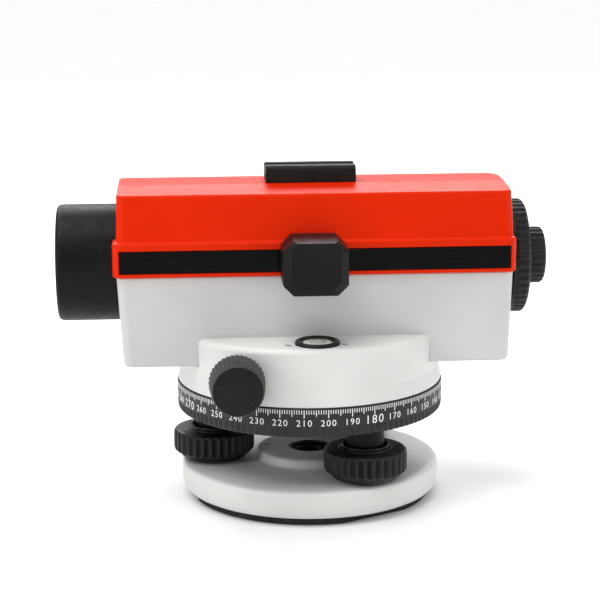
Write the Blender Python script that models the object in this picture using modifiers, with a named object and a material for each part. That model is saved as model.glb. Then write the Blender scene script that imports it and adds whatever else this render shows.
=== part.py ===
"""Automatic level: a self-levelling surveying telescope on a three-screw tribrach.

Every size below is in millimetres and is turned into metres by MM. The origin is on the
vertical axis, at the underside of the base. +X runs from the objective hood to the
eyepiece, +Y to the observer's right and +Z up.
"""

import math

import bmesh
import bpy
from mathutils import Matrix, Vector

MM = 0.001
GAP = 0.3            # clearance between pieces that touch or hold each other
ASSEMBLY = "automatic_level"

# Base and foot screws
BASE_R = 55.0
BASE_Z = (3.3, 15.0)
BASE_BOSS = (22.5, 19.0)          # radius and top of the central boss
BASE_CAVITY = (13.5, 48.0, 8.5)   # inner and outer radius and roof of the hollow underneath
TRIPOD_HOLE_R = 7.9               # minor radius of a 5/8-11 tripod thread
PAD_R = 51.0
PAD_FLAT = 48.5                   # distance of the pad's three flats from the axis
PAD_Z = (0.0, 3.0)
PAD_HOLE_R = 14.0
BASE_EDGE_R = 4.5
PEG_HOLE = (1.7, -18.4, 3.2)      # radius and place of the stop peg's hole in the boss
SPRING_ARM = (45.0, 43.0, 6.0)    # reach of an arm's tip and corners, and their angle
SPRING_NECK = (20.0, 60.0)        # reach between the arms, and its angle
SPRING_Z = (6.0, 7.2)
FOOT_CIRCLE_R = 41.2
FOOT_ANGLES = (180.0, 300.0, 60.0)
SHOE_R = 6.0
SHOE_Z = (11.4, 15.4)
BALL_R = 3.0
BALL_Z = 15.5
SCREW_R = 4.0
SCREW_TOP = 45.0
SCREW_NECK_Z = (18.6, 19.4)       # the taper from the ball up to the spindle
KNOB_R = 17.2
KNOB_RIBS = 14
KNOB_Z = (17.2, 28.4)
COLLAR = (10.8, 8.9, 30.0, 26.8)  # outer and inner radius, top, and floor of the recess
BUSH_R = 7.7
BUSH_BORE_R = 5.2
BUSH_Z = (29.6, 45.6)

# Tribrach head, horizontal circle and vertical axis
PLATE_R = 50.4
PLATE_Z = (39.4, 45.2)
HUB = (18.5, 46.3)                # radius and top of the tribrach's hub
CIRCLE_R = 56.8
CIRCLE_Z = (38.5, 50.6)
CIRCLE_SCALE_Z = 42.6             # below this height the circle's rim is a knurled grip
CIRCLE_SKIRT = 2.6
CIRCLE_WEB = (46.9, 49.9)
CIRCLE_BORE_R = 19.2
CIRCLE_RIBS = 24
AXIS_BUSH = (12.0, 8.0, 39.6, 62.0)   # outer and inner radius, bottom and top
SPINDLE_R = 7.9
SPINDLE_Z = (36.5, 68.4)
SPINDLE_FLANGE = (25.0, 65.4)
FRICTION_WASHER = (29.0, 22.0)
WHEEL_R = 28.8
WHEEL_Z = (57.6, 61.7)
WHEEL_HUB = (20.0, 53.4)          # radius and bottom of the worm wheel's hub

# Rotating head and tangent drive
HEAD_R = (56.0, 53.2)             # outer radius at the bottom and below the rounded edge
HEAD_Z = (50.9, 74.2)
HEAD_BAND_Z = 58.5                # height of the line where the head's side steps in
HEAD_BAND_STEP = 1.3
HEAD_EDGE_R = 2.0
HEAD_WALL = 2.6
SLOT_HALF = 30.7                  # half width of the slot that the telescope sits in
WORM_X = -32.7
WORM_Z = 61.6
WORM_R = 3.4
WORM_HALF = 14.0
WORM_SHAFT_R = 2.2
TANGENT_KNOB = (51.9, 68.4)       # start and end of each tangent knob along Y
TANGENT_R = (11.5, 10.6)          # radius at the back and at the front of the ribs
TANGENT_REACH = 65.4              # end of the shaft inside its knob
TANGENT_RIBS = 12
TANGENT_BUSH = (6.5, 33.0, 51.6)  # radius, start and end along Y

# Telescope casing
OPTIC_Z = 101.2
CASE_BOTTOM = (62.1, -77.8, 79.8, 29.2)   # height, first and last X, half width
CASE_TOP = (100.0, -79.8, 81.2, 30.4)
CASE_WALL = 2.4
CASE_OPENING_R = 20.0
BAND_Z = (100.3, 114.3)
BAND_X = (-81.9, 83.2)
BAND_HALF = 32.3
COVER_X = (-79.7, 81.0)
COVER_HALF = 30.4
EAVES_Z = 132.7
EAVES_X = (-79.2, 80.4)
EAVES_HALF = 26.0
ROOF_Z = 134.7
ROOF_X = (-79.0, 80.2)
ROOF_HALF = 9.0
COVER_WALL = 2.2
STRIP_X = (-79.0, 80.4)
STRIP_Z = (102.0, 111.0)
STRIP_THICK = 0.5
STRIP_RECESS = 1.0
SIGHT_X = (-18.4, 19.2)
SIGHT_HALF = 8.2
SIGHT_TOP = 141.7
SIGHT_EDGE_R = 1.2
SIGHT_NOTCH = (2.6, 3.0)          # half width and depth of the aiming notch

# Telescope tube, objective and focusing
HOOD_R = 24.4
HOOD_X = (-105.3, -82.3)
HOOD_BORE_R = 21.5
HOOD_STEP_X = -92.0
SPIGOT = (20.3, 18.8, -70.0)      # outer and inner radius, and end along X
CELL_R = 18.5
CELL_X = (-90.0, -62.0)
LENS_R = 16.4
LENS_SEAT = (15.2, -74.6)         # radius and front face of the ledge behind the lenses
LENS_X = (-82.0, -77.0)
RETAINER_X = (-88.6, -85.6)
TUBE_R = (21.8, 20.0)
TUBE_X = (-69.5, 64.0)
SLIDE_R = (11.0, 9.6)
SLIDE_X = (-30.0, -5.0)
PINION_R = 3.0
PINION_HALF = 3.0
FOCUS_X = -17.5
FOCUS_SHAFT_R = 1.5
FOCUS_BUSH = (4.4, 25.0)          # radius and inner end along Y
FOCUS_KNOB = (32.6, 47.0)
FOCUS_KNOB_R = 12.4
FOCUS_RIBS = 12
FRAME_X = (14.0, 17.0)
FRAME_BORE_R = 9.0
FRAME_ARM = (53.0, 10.5, 13.0, 108.6, 113.4)   # end along X, two half widths, two heights
FIXED_PRISM_X = (18.0, 44.0)
FIXED_PRISM_HALF = 10.2
FIXED_PRISM_SIZE = (8.0, 3.0)     # length at the bottom and at the top
FIXED_PRISM_Z = (94.0, 104.0, 110.4)
PENDULUM_X = 34.0
PENDULUM_Z = 111.0
CARRIER_HALF = (3.0, 9.6)         # half length and half width of the swinging frame
CARRIER_Z = (91.0, 113.0)
CARRIER_WINDOW = (6.6, 94.4, 106.8)   # half width, bottom and top

# Eyepiece
RETICLE_CELL = (6.2, 58.5, 62.0)  # bore radius, and the two ends along X
RETICLE_GLASS = (5.9, 59.4, 61.0)
EYE_LENS_X = 94.6
COVER_RING_R = 23.7
COVER_RING_X = (83.5, 84.9, 90.8)
COVER_SPIGOT = (16.0, 10.6, 70.0)
COVER_RIBS = 18
EYE_TUBE = (9.0, 7.0, 67.0, 98.0)
DIOPTER = (12.0, 9.3, 91.3, 99.4)
DIOPTER_RIBS = 12

# Circular bubble and its viewing prism
BUBBLE_XY = (0.4, -42.0)
BUBBLE_R = 9.1
BUBBLE_TOP = 75.6
BUBBLE_SHANK_R = 8.7
BUBBLE_FLOOR = (66.0, 67.6)       # underside and inside of the housing's floor
VIAL_R = (6.8, 6.5)               # bore of the housing and radius of the vial
VIAL_Z = (67.9, 73.0, 75.0)       # bottom, shoulder and top of the vial
VIAL_DOME = (16.0, 67.0)          # radius of the domed top, and the angle it ends at
BUBBLE_SCREW_R = (1.6, 0.7)       # radius of the head and of its socket
BUBBLE_SCREW_Z = (68.0, 73.8, 74.5)
BUBBLE_SCREW_X = 11.0
BUBBLE_SCREW_Y = -43.8
PRISM_X = (-13.8, 12.4)
PRISM_Y = (-54.6, -32.8)
PRISM_Z = (95.6, 117.9)
PRISM_CORNER = 4.2
PRISM_BEVEL = 3.2
PRISM_ROOF_SHARE = 0.15           # how much of the bevel is taken off the top edge
PRISM_WALL = 2.2
PRISM_FACE = 5.5                  # thickness of the hood behind its front face

COLOURS = {                       # colour, roughness, metallic
    "red_enamel": ((0.76, 0.035, 0.008), 0.32, 0.0),
    "white_enamel": ((0.80, 0.80, 0.77), 0.38, 0.0),
    "black_plastic": ((0.022, 0.022, 0.022), 0.48, 0.0),
    "black_metal": ((0.030, 0.030, 0.032), 0.40, 0.6),
    "strip_black": ((0.010, 0.010, 0.011), 0.22, 0.0),
    "rubber": ((0.015, 0.015, 0.015), 0.75, 0.0),
    "steel": ((0.55, 0.55, 0.56), 0.30, 1.0),
    "brass": ((0.66, 0.47, 0.18), 0.32, 1.0),
    "aluminium": ((0.70, 0.70, 0.72), 0.40, 1.0),
    "glass": ((0.75, 0.85, 0.82), 0.02, 0.0),
}


# ---------------------------------------------------------------- scene and helpers

def clear_scene():
    for old in list(bpy.data.objects):
        bpy.data.objects.remove(old, do_unlink=True)


def collection(name):
    found = bpy.data.collections.get(name) or bpy.data.collections.new(name)
    if name not in bpy.context.scene.collection.children:
        bpy.context.scene.collection.children.link(found)
    return found


def material(name):
    found = bpy.data.materials.get(name)
    if found:
        return found
    colour, roughness, metallic = COLOURS[name]
    found = bpy.data.materials.new(name)
    found.use_nodes = True
    shader = found.node_tree.nodes["Principled BSDF"]
    shader.inputs["Base Color"].default_value = (*colour, 1.0)
    shader.inputs["Roughness"].default_value = roughness
    shader.inputs["Metallic"].default_value = metallic
    found.diffuse_color = (*colour, 1.0)
    return found


def put(name, mesh, finish, sharp_deg=35.0):
    """Make a named piece from a mesh. A piece with no finish is a cutter."""
    piece = bpy.data.objects.new(name, mesh)
    if finish is None:
        collection("cutters").objects.link(piece)
        piece.hide_render = True
        piece.display_type = "WIRE"
        return piece
    collection(ASSEMBLY).objects.link(piece)
    mesh.materials.append(material(finish))
    mesh.shade_smooth()
    mesh.set_sharp_from_angle(angle=math.radians(sharp_deg))
    return piece


def mesh_from(name, bm):
    bmesh.ops.recalc_face_normals(bm, faces=bm.faces)
    mesh = bpy.data.meshes.new(name)
    bm.to_mesh(mesh)
    bm.free()
    return mesh


def along(axis):
    """The rotation that takes a shape made along +Z to the named axis."""
    turns = {
        "Z": Matrix.Identity(4),
        "X": Matrix.Rotation(math.pi / 2, 4, "Y"),
        "-Y": Matrix.Rotation(math.pi / 2, 4, "X"),
        "Y": Matrix.Rotation(-math.pi / 2, 4, "X"),
    }
    return turns[axis]


def place(piece, at=(0, 0, 0), axis="Z"):
    piece.matrix_world = Matrix.Translation(Vector(at) * MM) @ along(axis)
    return piece


def turned(name, profile, finish, steps=32, closed=True, at=(0, 0, 0), axis="Z"):
    """A turned piece. The profile holds (radius, height) points, outer side downwards.

    A closed profile makes a piece with a bore; an open one starts and ends on the axis.
    """
    mesh = bpy.data.meshes.new(name)
    verts = [(radius * MM, 0.0, height * MM) for radius, height in profile]
    edges = [(i, i + 1) for i in range(len(verts) - 1)]
    if closed:
        edges.append((len(verts) - 1, 0))
    mesh.from_pydata(verts, edges, [])
    piece = put(name, mesh, finish)
    screw = piece.modifiers.new("turn", "SCREW")
    screw.axis = "Z"
    screw.angle = math.tau
    screw.steps = steps
    screw.render_steps = steps
    screw.use_merge_vertices = True
    screw.merge_threshold = 0.00001
    screw.use_smooth_shade = True
    return place(piece, at, axis)


def sleeve(name, outer, inner, low, high, finish, **where):
    profile = [(inner, high), (outer, high), (outer, low), (inner, low)]
    return turned(name, profile, finish, **where)


def box(name, low, high, finish, bevel=0.0, segments=2):
    """A box between two corners, with its edges rounded by a Bevel modifier."""
    bm = bmesh.new()
    bmesh.ops.create_cube(bm, size=1.0)
    size = Vector(high) - Vector(low)
    centre = (Vector(high) + Vector(low)) / 2
    bmesh.ops.scale(bm, vec=size * MM, verts=bm.verts)
    piece = put(name, mesh_from(name, bm), finish)
    piece.location = centre * MM
    if bevel:
        rounding = piece.modifiers.new("edges", "BEVEL")
        rounding.width = bevel * MM
        rounding.segments = segments
        rounding.limit_method = "ANGLE"
    return piece


def cylinder(name, radius, low, high, finish, at=(0, 0, 0), axis="Z", sides=32):
    bm = bmesh.new()
    bmesh.ops.create_cone(
        bm, cap_ends=True, segments=sides, radius1=radius * MM, radius2=radius * MM,
        depth=(high - low) * MM)
    bmesh.ops.translate(bm, vec=(0, 0, (low + high) / 2 * MM), verts=bm.verts)
    return place(put(name, mesh_from(name, bm), finish), at, axis)


def cut(piece, cutter, operation="DIFFERENCE"):
    boolean = piece.modifiers.new(cutter.name, "BOOLEAN")
    boolean.operation = operation
    boolean.object = cutter
    boolean.solver = "EXACT"


def loft(name, rings, finish, closed=False, capped=True, sharp_deg=35.0):
    """Skin a stack of rings of (x, y, z) points that all have the same count."""
    bm = bmesh.new()
    rows = [[bm.verts.new(Vector(point) * MM) for point in ring] for ring in rings]
    pairs = list(zip(rows, rows[1:]))
    if closed:
        pairs.append((rows[-1], rows[0]))
    for first, second in pairs:
        count = len(first)
        for i in range(count):
            j = (i + 1) % count
            bm.faces.new((first[i], first[j], second[j], second[i]))
    if capped and not closed:
        bm.faces.new(rows[0])
        bm.faces.new(rows[-1])
    return put(name, mesh_from(name, bm), finish, sharp_deg)


def ribbed_ring(radius, height, ribs, depth=0.0):
    """A ring of points whose radius steps in by the rib depth at every other point."""
    points = []
    for i in range(2 * ribs):
        angle = math.pi * i / ribs
        reach = radius - depth * (i % 2)
        points.append((reach * math.cos(angle), reach * math.sin(angle), height))
    return points


def ribbed(name, profile, ribs, finish, blind=False, at=(0, 0, 0), axis="Z"):
    """A gripped knob or ring; the profile holds (radius, height, rib depth) points.

    A blind profile runs from the bore's floor, round the outside, to the closed face.
    """
    rings = [ribbed_ring(radius, height, ribs, depth) for radius, height, depth in profile]
    return place(loft(name, rings, finish, closed=not blind), at, axis)


def rounded_outline(x_low, x_high, half, height, radius, segments=3):
    """A rounded rectangle of points at one height, symmetric about the XZ plane."""
    points = []
    corners = (
        (x_high - radius, half - radius, 0.0),
        (x_low + radius, half - radius, 90.0),
        (x_low + radius, radius - half, 180.0),
        (x_high - radius, radius - half, 270.0),
    )
    for x, y, start in corners:
        for step in range(segments + 1):
            angle = math.radians(start + 90.0 * step / segments)
            points.append((x + radius * math.cos(angle), y + radius * math.sin(angle), height))
    return points


def shell(name, rings, thickness, finish):
    """A thin casing: a skin of rings closed at the first, given its wall by Solidify."""
    bm = bmesh.new()
    rows = [[bm.verts.new(Vector(point) * MM) for point in ring] for ring in rings]
    for first, second in zip(rows, rows[1:]):
        count = len(first)
        for i in range(count):
            j = (i + 1) % count
            bm.faces.new((first[i], first[j], second[j], second[i]))
    bm.faces.new(rows[0])
    bmesh.ops.recalc_face_normals(bm, faces=bm.faces)
    piece = put(name, mesh_from(name, bm), finish)
    wall = piece.modifiers.new("wall", "SOLIDIFY")
    wall.thickness = thickness * MM
    wall.offset = -1.0
    wall.use_even_offset = True
    return piece


def pivot(name, at, parent=None):
    """An empty on a joint's axis, which the moving pieces hang from."""
    empty = bpy.data.objects.new(name, None)
    collection(ASSEMBLY).objects.link(empty)
    empty.empty_display_size = 0.01
    empty.matrix_world = Matrix.Translation(Vector(at) * MM)
    if parent:
        hang(empty, parent)
    return empty


def hang(piece, parent):
    bpy.context.view_layer.update()
    world = piece.matrix_world.copy()
    piece.parent = parent
    piece.matrix_parent_inverse = parent.matrix_world.inverted()
    piece.matrix_world = world


def foot_place(index):
    angle = math.radians(FOOT_ANGLES[index])
    return FOOT_CIRCLE_R * math.cos(angle), FOOT_CIRCLE_R * math.sin(angle)


def arc(radius, centre_r, centre_z, start_deg, end_deg, steps):
    """Points (radius, height) on a round stretch of a turned profile."""
    points = []
    for step in range(steps + 1):
        angle = math.radians(start_deg + (end_deg - start_deg) * step / steps)
        reach = centre_r + radius * math.cos(angle)
        points.append((max(reach, 0.0), centre_z + radius * math.sin(angle)))
    return points


# ---------------------------------------------------------------- base

def make_base():
    bottom, top = BASE_Z
    boss_r, boss_top = BASE_BOSS
    inner, outer, roof = BASE_CAVITY
    rim = arc(BASE_EDGE_R, BASE_R - BASE_EDGE_R, top - BASE_EDGE_R, 90, 10, 3)
    profile = [(TRIPOD_HOLE_R, boss_top), (boss_r - 1.0, boss_top), (boss_r, boss_top - 0.8)]
    profile += [(boss_r + 0.6, top)] + rim
    profile += [(BASE_R, top - 7.0), (BASE_R - 1.8, bottom), (outer, bottom)]
    profile += [(outer, roof), (inner, roof), (inner, bottom), (TRIPOD_HOLE_R, bottom)]
    plate = turned("base_plate", profile, "white_enamel", steps=32)
    for index in range(3):
        x, y = foot_place(index)
        cutter = cylinder(
            f"shoe_pocket_{index + 1}", SHOE_R + GAP, SHOE_Z[0] - GAP, 20.0, None, at=(x, y, 0),
            sides=24)
        cut(plate, cutter)
    peg_r, peg_x, peg_y = PEG_HOLE
    cut(plate, cylinder(
        "peg_hole", peg_r, top - 1.0, boss_top + 3.0, None, at=(peg_x, peg_y, 0), sides=12))

    pad = sleeve("base_pad", PAD_R, PAD_HOLE_R, *PAD_Z, "rubber", steps=36)
    for index in range(3):
        flat = box(f"pad_flat_{index + 1}", (PAD_FLAT, -40, -5), (PAD_FLAT + 30, 40, 8), None)
        turn = Matrix.Rotation(math.radians(FOOT_ANGLES[index]), 4, "Z")
        flat.matrix_world = turn @ Matrix.Translation(flat.location)
        cut(pad, flat)


def make_spring_plate():
    """The three-armed leaf under the base that keeps the foot screws' balls seated."""
    points = []
    tip, corner, spread = SPRING_ARM
    arm = ((corner, -spread), (tip, 0.0), (corner, spread), SPRING_NECK)
    for angle in FOOT_ANGLES:
        for reach, offset in arm:
            turn = math.radians(angle + offset)
            points.append((reach * math.cos(turn), reach * math.sin(turn)))
    ordered = sorted(points, key=lambda point: math.atan2(point[1], point[0]))
    rings = [[(x, y, z) for x, y in ordered] for z in SPRING_Z]
    plate = loft("spring_plate", rings, "steel")
    low, high = SPRING_Z
    cut(plate, cylinder(
        "spring_hole", BASE_CAVITY[0] + 0.5, low - 1.0, high + 1.0, None, sides=32))


def make_foot(index):
    """One levelling foot: its swivel shoe, ball-ended screw and ribbed knob."""
    number = index + 1
    x, y = foot_place(index)
    at = (x, y, 0)
    seat = BALL_R + GAP
    bottom, top = SHOE_Z
    cup = arc(seat, 0.0, BALL_Z, -90, -2, 3)
    profile = cup + [(SHOE_R, top), (SHOE_R, bottom), (0.0, bottom)]
    shoe = turned(f"foot_shoe_{number}", profile, "steel", steps=12, closed=False, at=at)

    ball = arc(BALL_R, 0.0, BALL_Z, 50, -90, 4)
    profile = [(0.0, SCREW_TOP), (SCREW_R - 0.8, SCREW_TOP), (SCREW_R, SCREW_TOP - 1.0)]
    profile += [(SCREW_R, SCREW_NECK_Z[1]), (ball[0][0], SCREW_NECK_Z[0])] + ball
    screw = turned(f"foot_screw_{number}", profile, "steel", steps=12, closed=False, at=at)

    low, high = KNOB_Z
    collar_r, recess_r, collar_top, floor = COLLAR
    bore = SCREW_R + GAP
    profile = [
        (bore, floor, 0), (recess_r, floor, 0), (recess_r, collar_top, 0),
        (collar_r, collar_top, 0), (collar_r, high, 0), (KNOB_R - 0.9, high, 0.2),
        (KNOB_R, high - 0.9, 0.9), (KNOB_R, low + 2.4, 0.9), (KNOB_R - 3.4, low, 0.2),
        (bore, low, 0),
    ]
    knob = ribbed(f"foot_knob_{number}", profile, KNOB_RIBS, "black_plastic", at=at)
    return shoe, screw, knob


# ---------------------------------------------------------------- tribrach head and circle

def make_tribrach():
    low, high = PLATE_Z
    hub_r, hub_top = HUB
    bush_r, bore_r, bush_low, bush_high = AXIS_BUSH
    profile = [(bush_r + GAP, hub_top), (hub_r, hub_top), (hub_r, high)]
    profile += [(PLATE_R - 1.0, high), (PLATE_R, high - 1.0), (PLATE_R, low + 1.0)]
    profile += [(PLATE_R - 1.0, low), (bush_r + GAP, low)]
    plate = turned("tribrach_plate", profile, "black_metal", steps=28)
    pieces = [plate]
    for index in range(3):
        x, y = foot_place(index)
        cut(plate, cylinder(
            f"bush_hole_{index + 1}", BUSH_R + GAP, low - 1.0, high + 2.0, None, at=(x, y, 0),
            sides=24))
        pieces.append(sleeve(
            f"foot_bush_{index + 1}", BUSH_R, BUSH_BORE_R, *BUSH_Z, "black_metal", steps=14,
            at=(x, y, 0)))
    pieces.append(sleeve("axis_bush", bush_r, bore_r, bush_low, bush_high, "brass", steps=24))
    pieces.append(sleeve(
        "friction_washer", *FRICTION_WASHER, high + GAP, CIRCLE_WEB[0] - GAP, "brass",
        steps=24))
    return pieces


def make_circle():
    """The graduated circle: a scale band above a knurled grip, on a flat web."""
    low, high = CIRCLE_Z
    web_low, web_high = CIRCLE_WEB
    inner = CIRCLE_R - CIRCLE_SKIRT - 0.6
    profile = [
        (CIRCLE_BORE_R, web_high, 0), (inner, web_high, 0), (inner + 0.6, high, 0),
        (CIRCLE_R, high, 0), (CIRCLE_R, CIRCLE_SCALE_Z, 0), (CIRCLE_R - 0.2, low, 0.5),
        (inner, low, 0), (inner, web_low, 0), (CIRCLE_BORE_R, web_low, 0),
    ]
    return ribbed("circle_ring", profile, CIRCLE_RIBS, "black_metal")


def make_worm_wheel():
    low, high = WHEEL_Z
    bore = AXIS_BUSH[0] + GAP
    hub_r, hub_low = WHEEL_HUB
    profile = [
        (bore, high), (WHEEL_R, high), (WHEEL_R, low), (hub_r, low), (hub_r, hub_low),
        (bore, hub_low),
    ]
    return turned("worm_wheel", profile, "brass", steps=24)


# ---------------------------------------------------------------- rotating head

def make_head():
    bottom, top = HEAD_Z
    wide, narrow = HEAD_R
    edge = arc(HEAD_EDGE_R, narrow - HEAD_EDGE_R, top - HEAD_EDGE_R, 90, 8, 3)
    band = wide - HEAD_BAND_STEP
    outer = [(0.0, top)] + edge + [(band, HEAD_BAND_Z), (wide, bottom)]
    inner = [
        (wide - HEAD_WALL, bottom), (band - HEAD_WALL, HEAD_BAND_Z),
        (narrow - HEAD_WALL, top - HEAD_WALL - 1.0), (narrow - HEAD_WALL - 1.0, top - HEAD_WALL),
        (0.0, top - HEAD_WALL),
    ]
    head = turned("head_casing", outer + inner, "white_enamel", steps=36, closed=False)
    slot = box(
        "telescope_slot", (-80, -SLOT_HALF, CASE_BOTTOM[0] - GAP), (80, SLOT_HALF, 90), None)
    cut(head, slot)
    x, y = BUBBLE_XY
    cut(head, cylinder(
        "bubble_hole", BUBBLE_SHANK_R + GAP, 60, 80, None, at=(x, y, 0), sides=32))
    for side in (-1, 1):
        cut(head, cylinder(
            f"bubble_screw_hole_{side + 2}", BUBBLE_SCREW_R[0] + GAP, 60, 80, None,
            at=(side * BUBBLE_SCREW_X, BUBBLE_SCREW_Y, 0), sides=12))
    shaft_way = cylinder(
        "tangent_hole", TANGENT_BUSH[0] + GAP, -60, 60, None, at=(WORM_X, 0, WORM_Z), axis="Y",
        sides=24)
    cut(head, shaft_way)

    flange_r, flange_z = SPINDLE_FLANGE
    low, high = SPINDLE_Z
    profile = [(0.0, high), (flange_r, high), (flange_r, flange_z), (SPINDLE_R, flange_z)]
    profile += [(SPINDLE_R, low + 1.0), (SPINDLE_R - 1.0, low), (0.0, low)]
    spindle = turned("axis_spindle", profile, "steel", steps=20, closed=False)
    return [head, spindle]


def make_tangent_drive():
    radius, start, end = TANGENT_BUSH
    held = []
    for name, axis in (("near", "-Y"), ("far", "Y")):
        held.append(sleeve(
            f"tangent_bush_{name}", radius, WORM_SHAFT_R + GAP, start, end, "white_enamel",
            steps=16, at=(WORM_X, 0, WORM_Z), axis=axis))
    first, last = TANGENT_KNOB
    reach = TANGENT_REACH
    worm = WORM_HALF
    profile = [(0.0, reach), (WORM_SHAFT_R, reach), (WORM_SHAFT_R, worm), (WORM_R, worm - 1)]
    profile += [(WORM_R, 1 - worm), (WORM_SHAFT_R, -worm), (WORM_SHAFT_R, -reach), (0.0, -reach)]
    shaft = turned(
        "tangent_worm", profile, "steel", steps=14, closed=False, at=(WORM_X, 0, WORM_Z), axis="Y")
    turning = [shaft]
    back_r, front_r = TANGENT_R
    bore = WORM_SHAFT_R + GAP
    floor = reach + GAP
    profile = [
        (bore, floor, 0), (bore, first, 0), (back_r - 0.8, first, 0.1),
        (back_r, first + 1.5, 0.6), (front_r, last - 0.9, 0.6), (front_r - 0.8, last, 0.1),
    ]
    for name, axis in (("near", "-Y"), ("far", "Y")):
        turning.append(ribbed(
            f"tangent_knob_{name}", profile, TANGENT_RIBS, "black_plastic", blind=True,
            at=(WORM_X, 0, WORM_Z), axis=axis))
    return held, turning


def make_bubble():
    x, y = BUBBLE_XY
    at = (x, y, 0)
    top = HEAD_Z[1] + GAP
    shank = BUBBLE_SHANK_R
    under, floor = BUBBLE_FLOOR
    bore, vial_r = VIAL_R
    profile = [
        (0.0, floor), (bore, floor), (bore, BUBBLE_TOP), (BUBBLE_R - 0.6, BUBBLE_TOP),
        (BUBBLE_R, BUBBLE_TOP - 0.6), (BUBBLE_R, top), (shank, top), (shank, under),
        (0.0, under)]
    ring = turned(
        "bubble_housing", profile, "black_metal", steps=20, closed=False, at=at)
    low, shoulder, crown = VIAL_Z
    dome_r, dome_end = VIAL_DOME
    dome = arc(dome_r, 0.0, crown - dome_r, 90, dome_end, 3)
    vial = turned(
        "bubble_vial", dome + [(vial_r, shoulder), (vial_r, low), (0.0, low)], "glass",
        steps=16, closed=False, at=at)
    pieces = [ring, vial]
    screw_r, socket_r = BUBBLE_SCREW_R
    low, socket, high = BUBBLE_SCREW_Z
    profile = [
        (0.0, socket), (socket_r, socket), (socket_r, high), (screw_r, high), (screw_r, low),
        (0.0, low)]
    for side, name in ((-1, "left"), (1, "right")):
        pieces.append(turned(
            f"bubble_screw_{name}", profile, "steel", steps=12, closed=False,
            at=(side * BUBBLE_SCREW_X, BUBBLE_SCREW_Y, 0)))
    return pieces


def make_prism_housing():
    """The eight-sided hood that shows the bubble to an observer at the eyepiece."""
    (x_low, x_high), (y_front, y_back), (z_low, z_high) = PRISM_X, PRISM_Y, PRISM_Z

    def octagon(y, inset):
        low, high = x_low + inset, x_high - inset
        floor, roof = z_low + inset, z_high - PRISM_ROOF_SHARE * inset
        corner = PRISM_CORNER - 0.4 * inset
        return [
            (low + corner, y, floor), (high - corner, y, floor), (high, y, floor + corner),
            (high, y, roof - corner), (high - corner, y, roof), (low + corner, y, roof),
            (low, y, roof - corner), (low, y, floor + corner)]

    rings = [octagon(y_front, PRISM_BEVEL), octagon(y_front + PRISM_BEVEL, 0), octagon(y_back, 0)]
    housing = loft("prism_housing", rings, "black_plastic", sharp_deg=20)
    wall = PRISM_WALL
    face = y_front + PRISM_FACE
    cut(housing, box(
        "prism_well", (x_low + wall + 2, face, z_low - 5),
        (x_high - wall, y_back - wall, z_high - 4.5), None))
    cut(housing, box(
        "prism_window", (x_high - 6, face, z_low + 5), (x_high + 5, y_back - wall, z_high - 5),
        None))
    glass = loft(
        "bubble_prism",
        [[(x_low + 4.6, y, z_high - 5.0), (x_high - 3.0, y, z_high - 5.0),
          (x_high - 3.0, y, z_high - 6.6), (x_low + 6.2, y, z_low + 6.0),
          (x_low + 4.6, y, z_low + 6.0)] for y in (face + 0.5, y_back - wall - 0.5)],
        "glass")
    return [housing, glass]


# ---------------------------------------------------------------- telescope casing

def end_cutters():
    """The holes for the objective's spigot and the eyepiece's, shared by both casings."""
    optic = (0, 0, OPTIC_Z)
    objective = cylinder(
        "objective_hole", SPIGOT[0] + GAP, -95, -60, None, at=optic, axis="X", sides=48)
    eyepiece = cylinder(
        "eyepiece_hole", COVER_SPIGOT[0] + GAP, 60, 95, None, at=optic, axis="X", sides=48)
    return objective, eyepiece


def make_casing(cutters):
    low, high = CASE_BOTTOM, CASE_TOP

    def ring(share, inset, height):
        x0 = low[1] + (high[1] - low[1]) * share + inset
        x1 = low[2] + (high[2] - low[2]) * share - inset
        half = low[3] + (high[3] - low[3]) * share - inset
        return rounded_outline(x0, x1, half, height, 4.0)

    rings = [ring(0.0, 3.0, low[0]), ring(0.02, 0.9, low[0] + 0.9), ring(0.08, 0.0, low[0] + 3.0),
             ring(1.0, 0.0, high[0])]
    casing = shell("lower_casing", rings, CASE_WALL, "white_enamel")
    for cutter in cutters:
        cut(casing, cutter)
    cut(casing, cylinder("casing_opening", CASE_OPENING_R, 55, 75, None, sides=48))
    cut(casing, box(
        "worm_way", (WORM_X - 4.4, -34, 55), (WORM_X + 6.0, 34, 67.0), None))
    x, z = FOCUS_X, focus_height()
    cut(casing, cylinder("focus_hole", 4.8, 20, 40, None, at=(x, 0, z), axis="Y", sides=20))
    return casing


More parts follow.
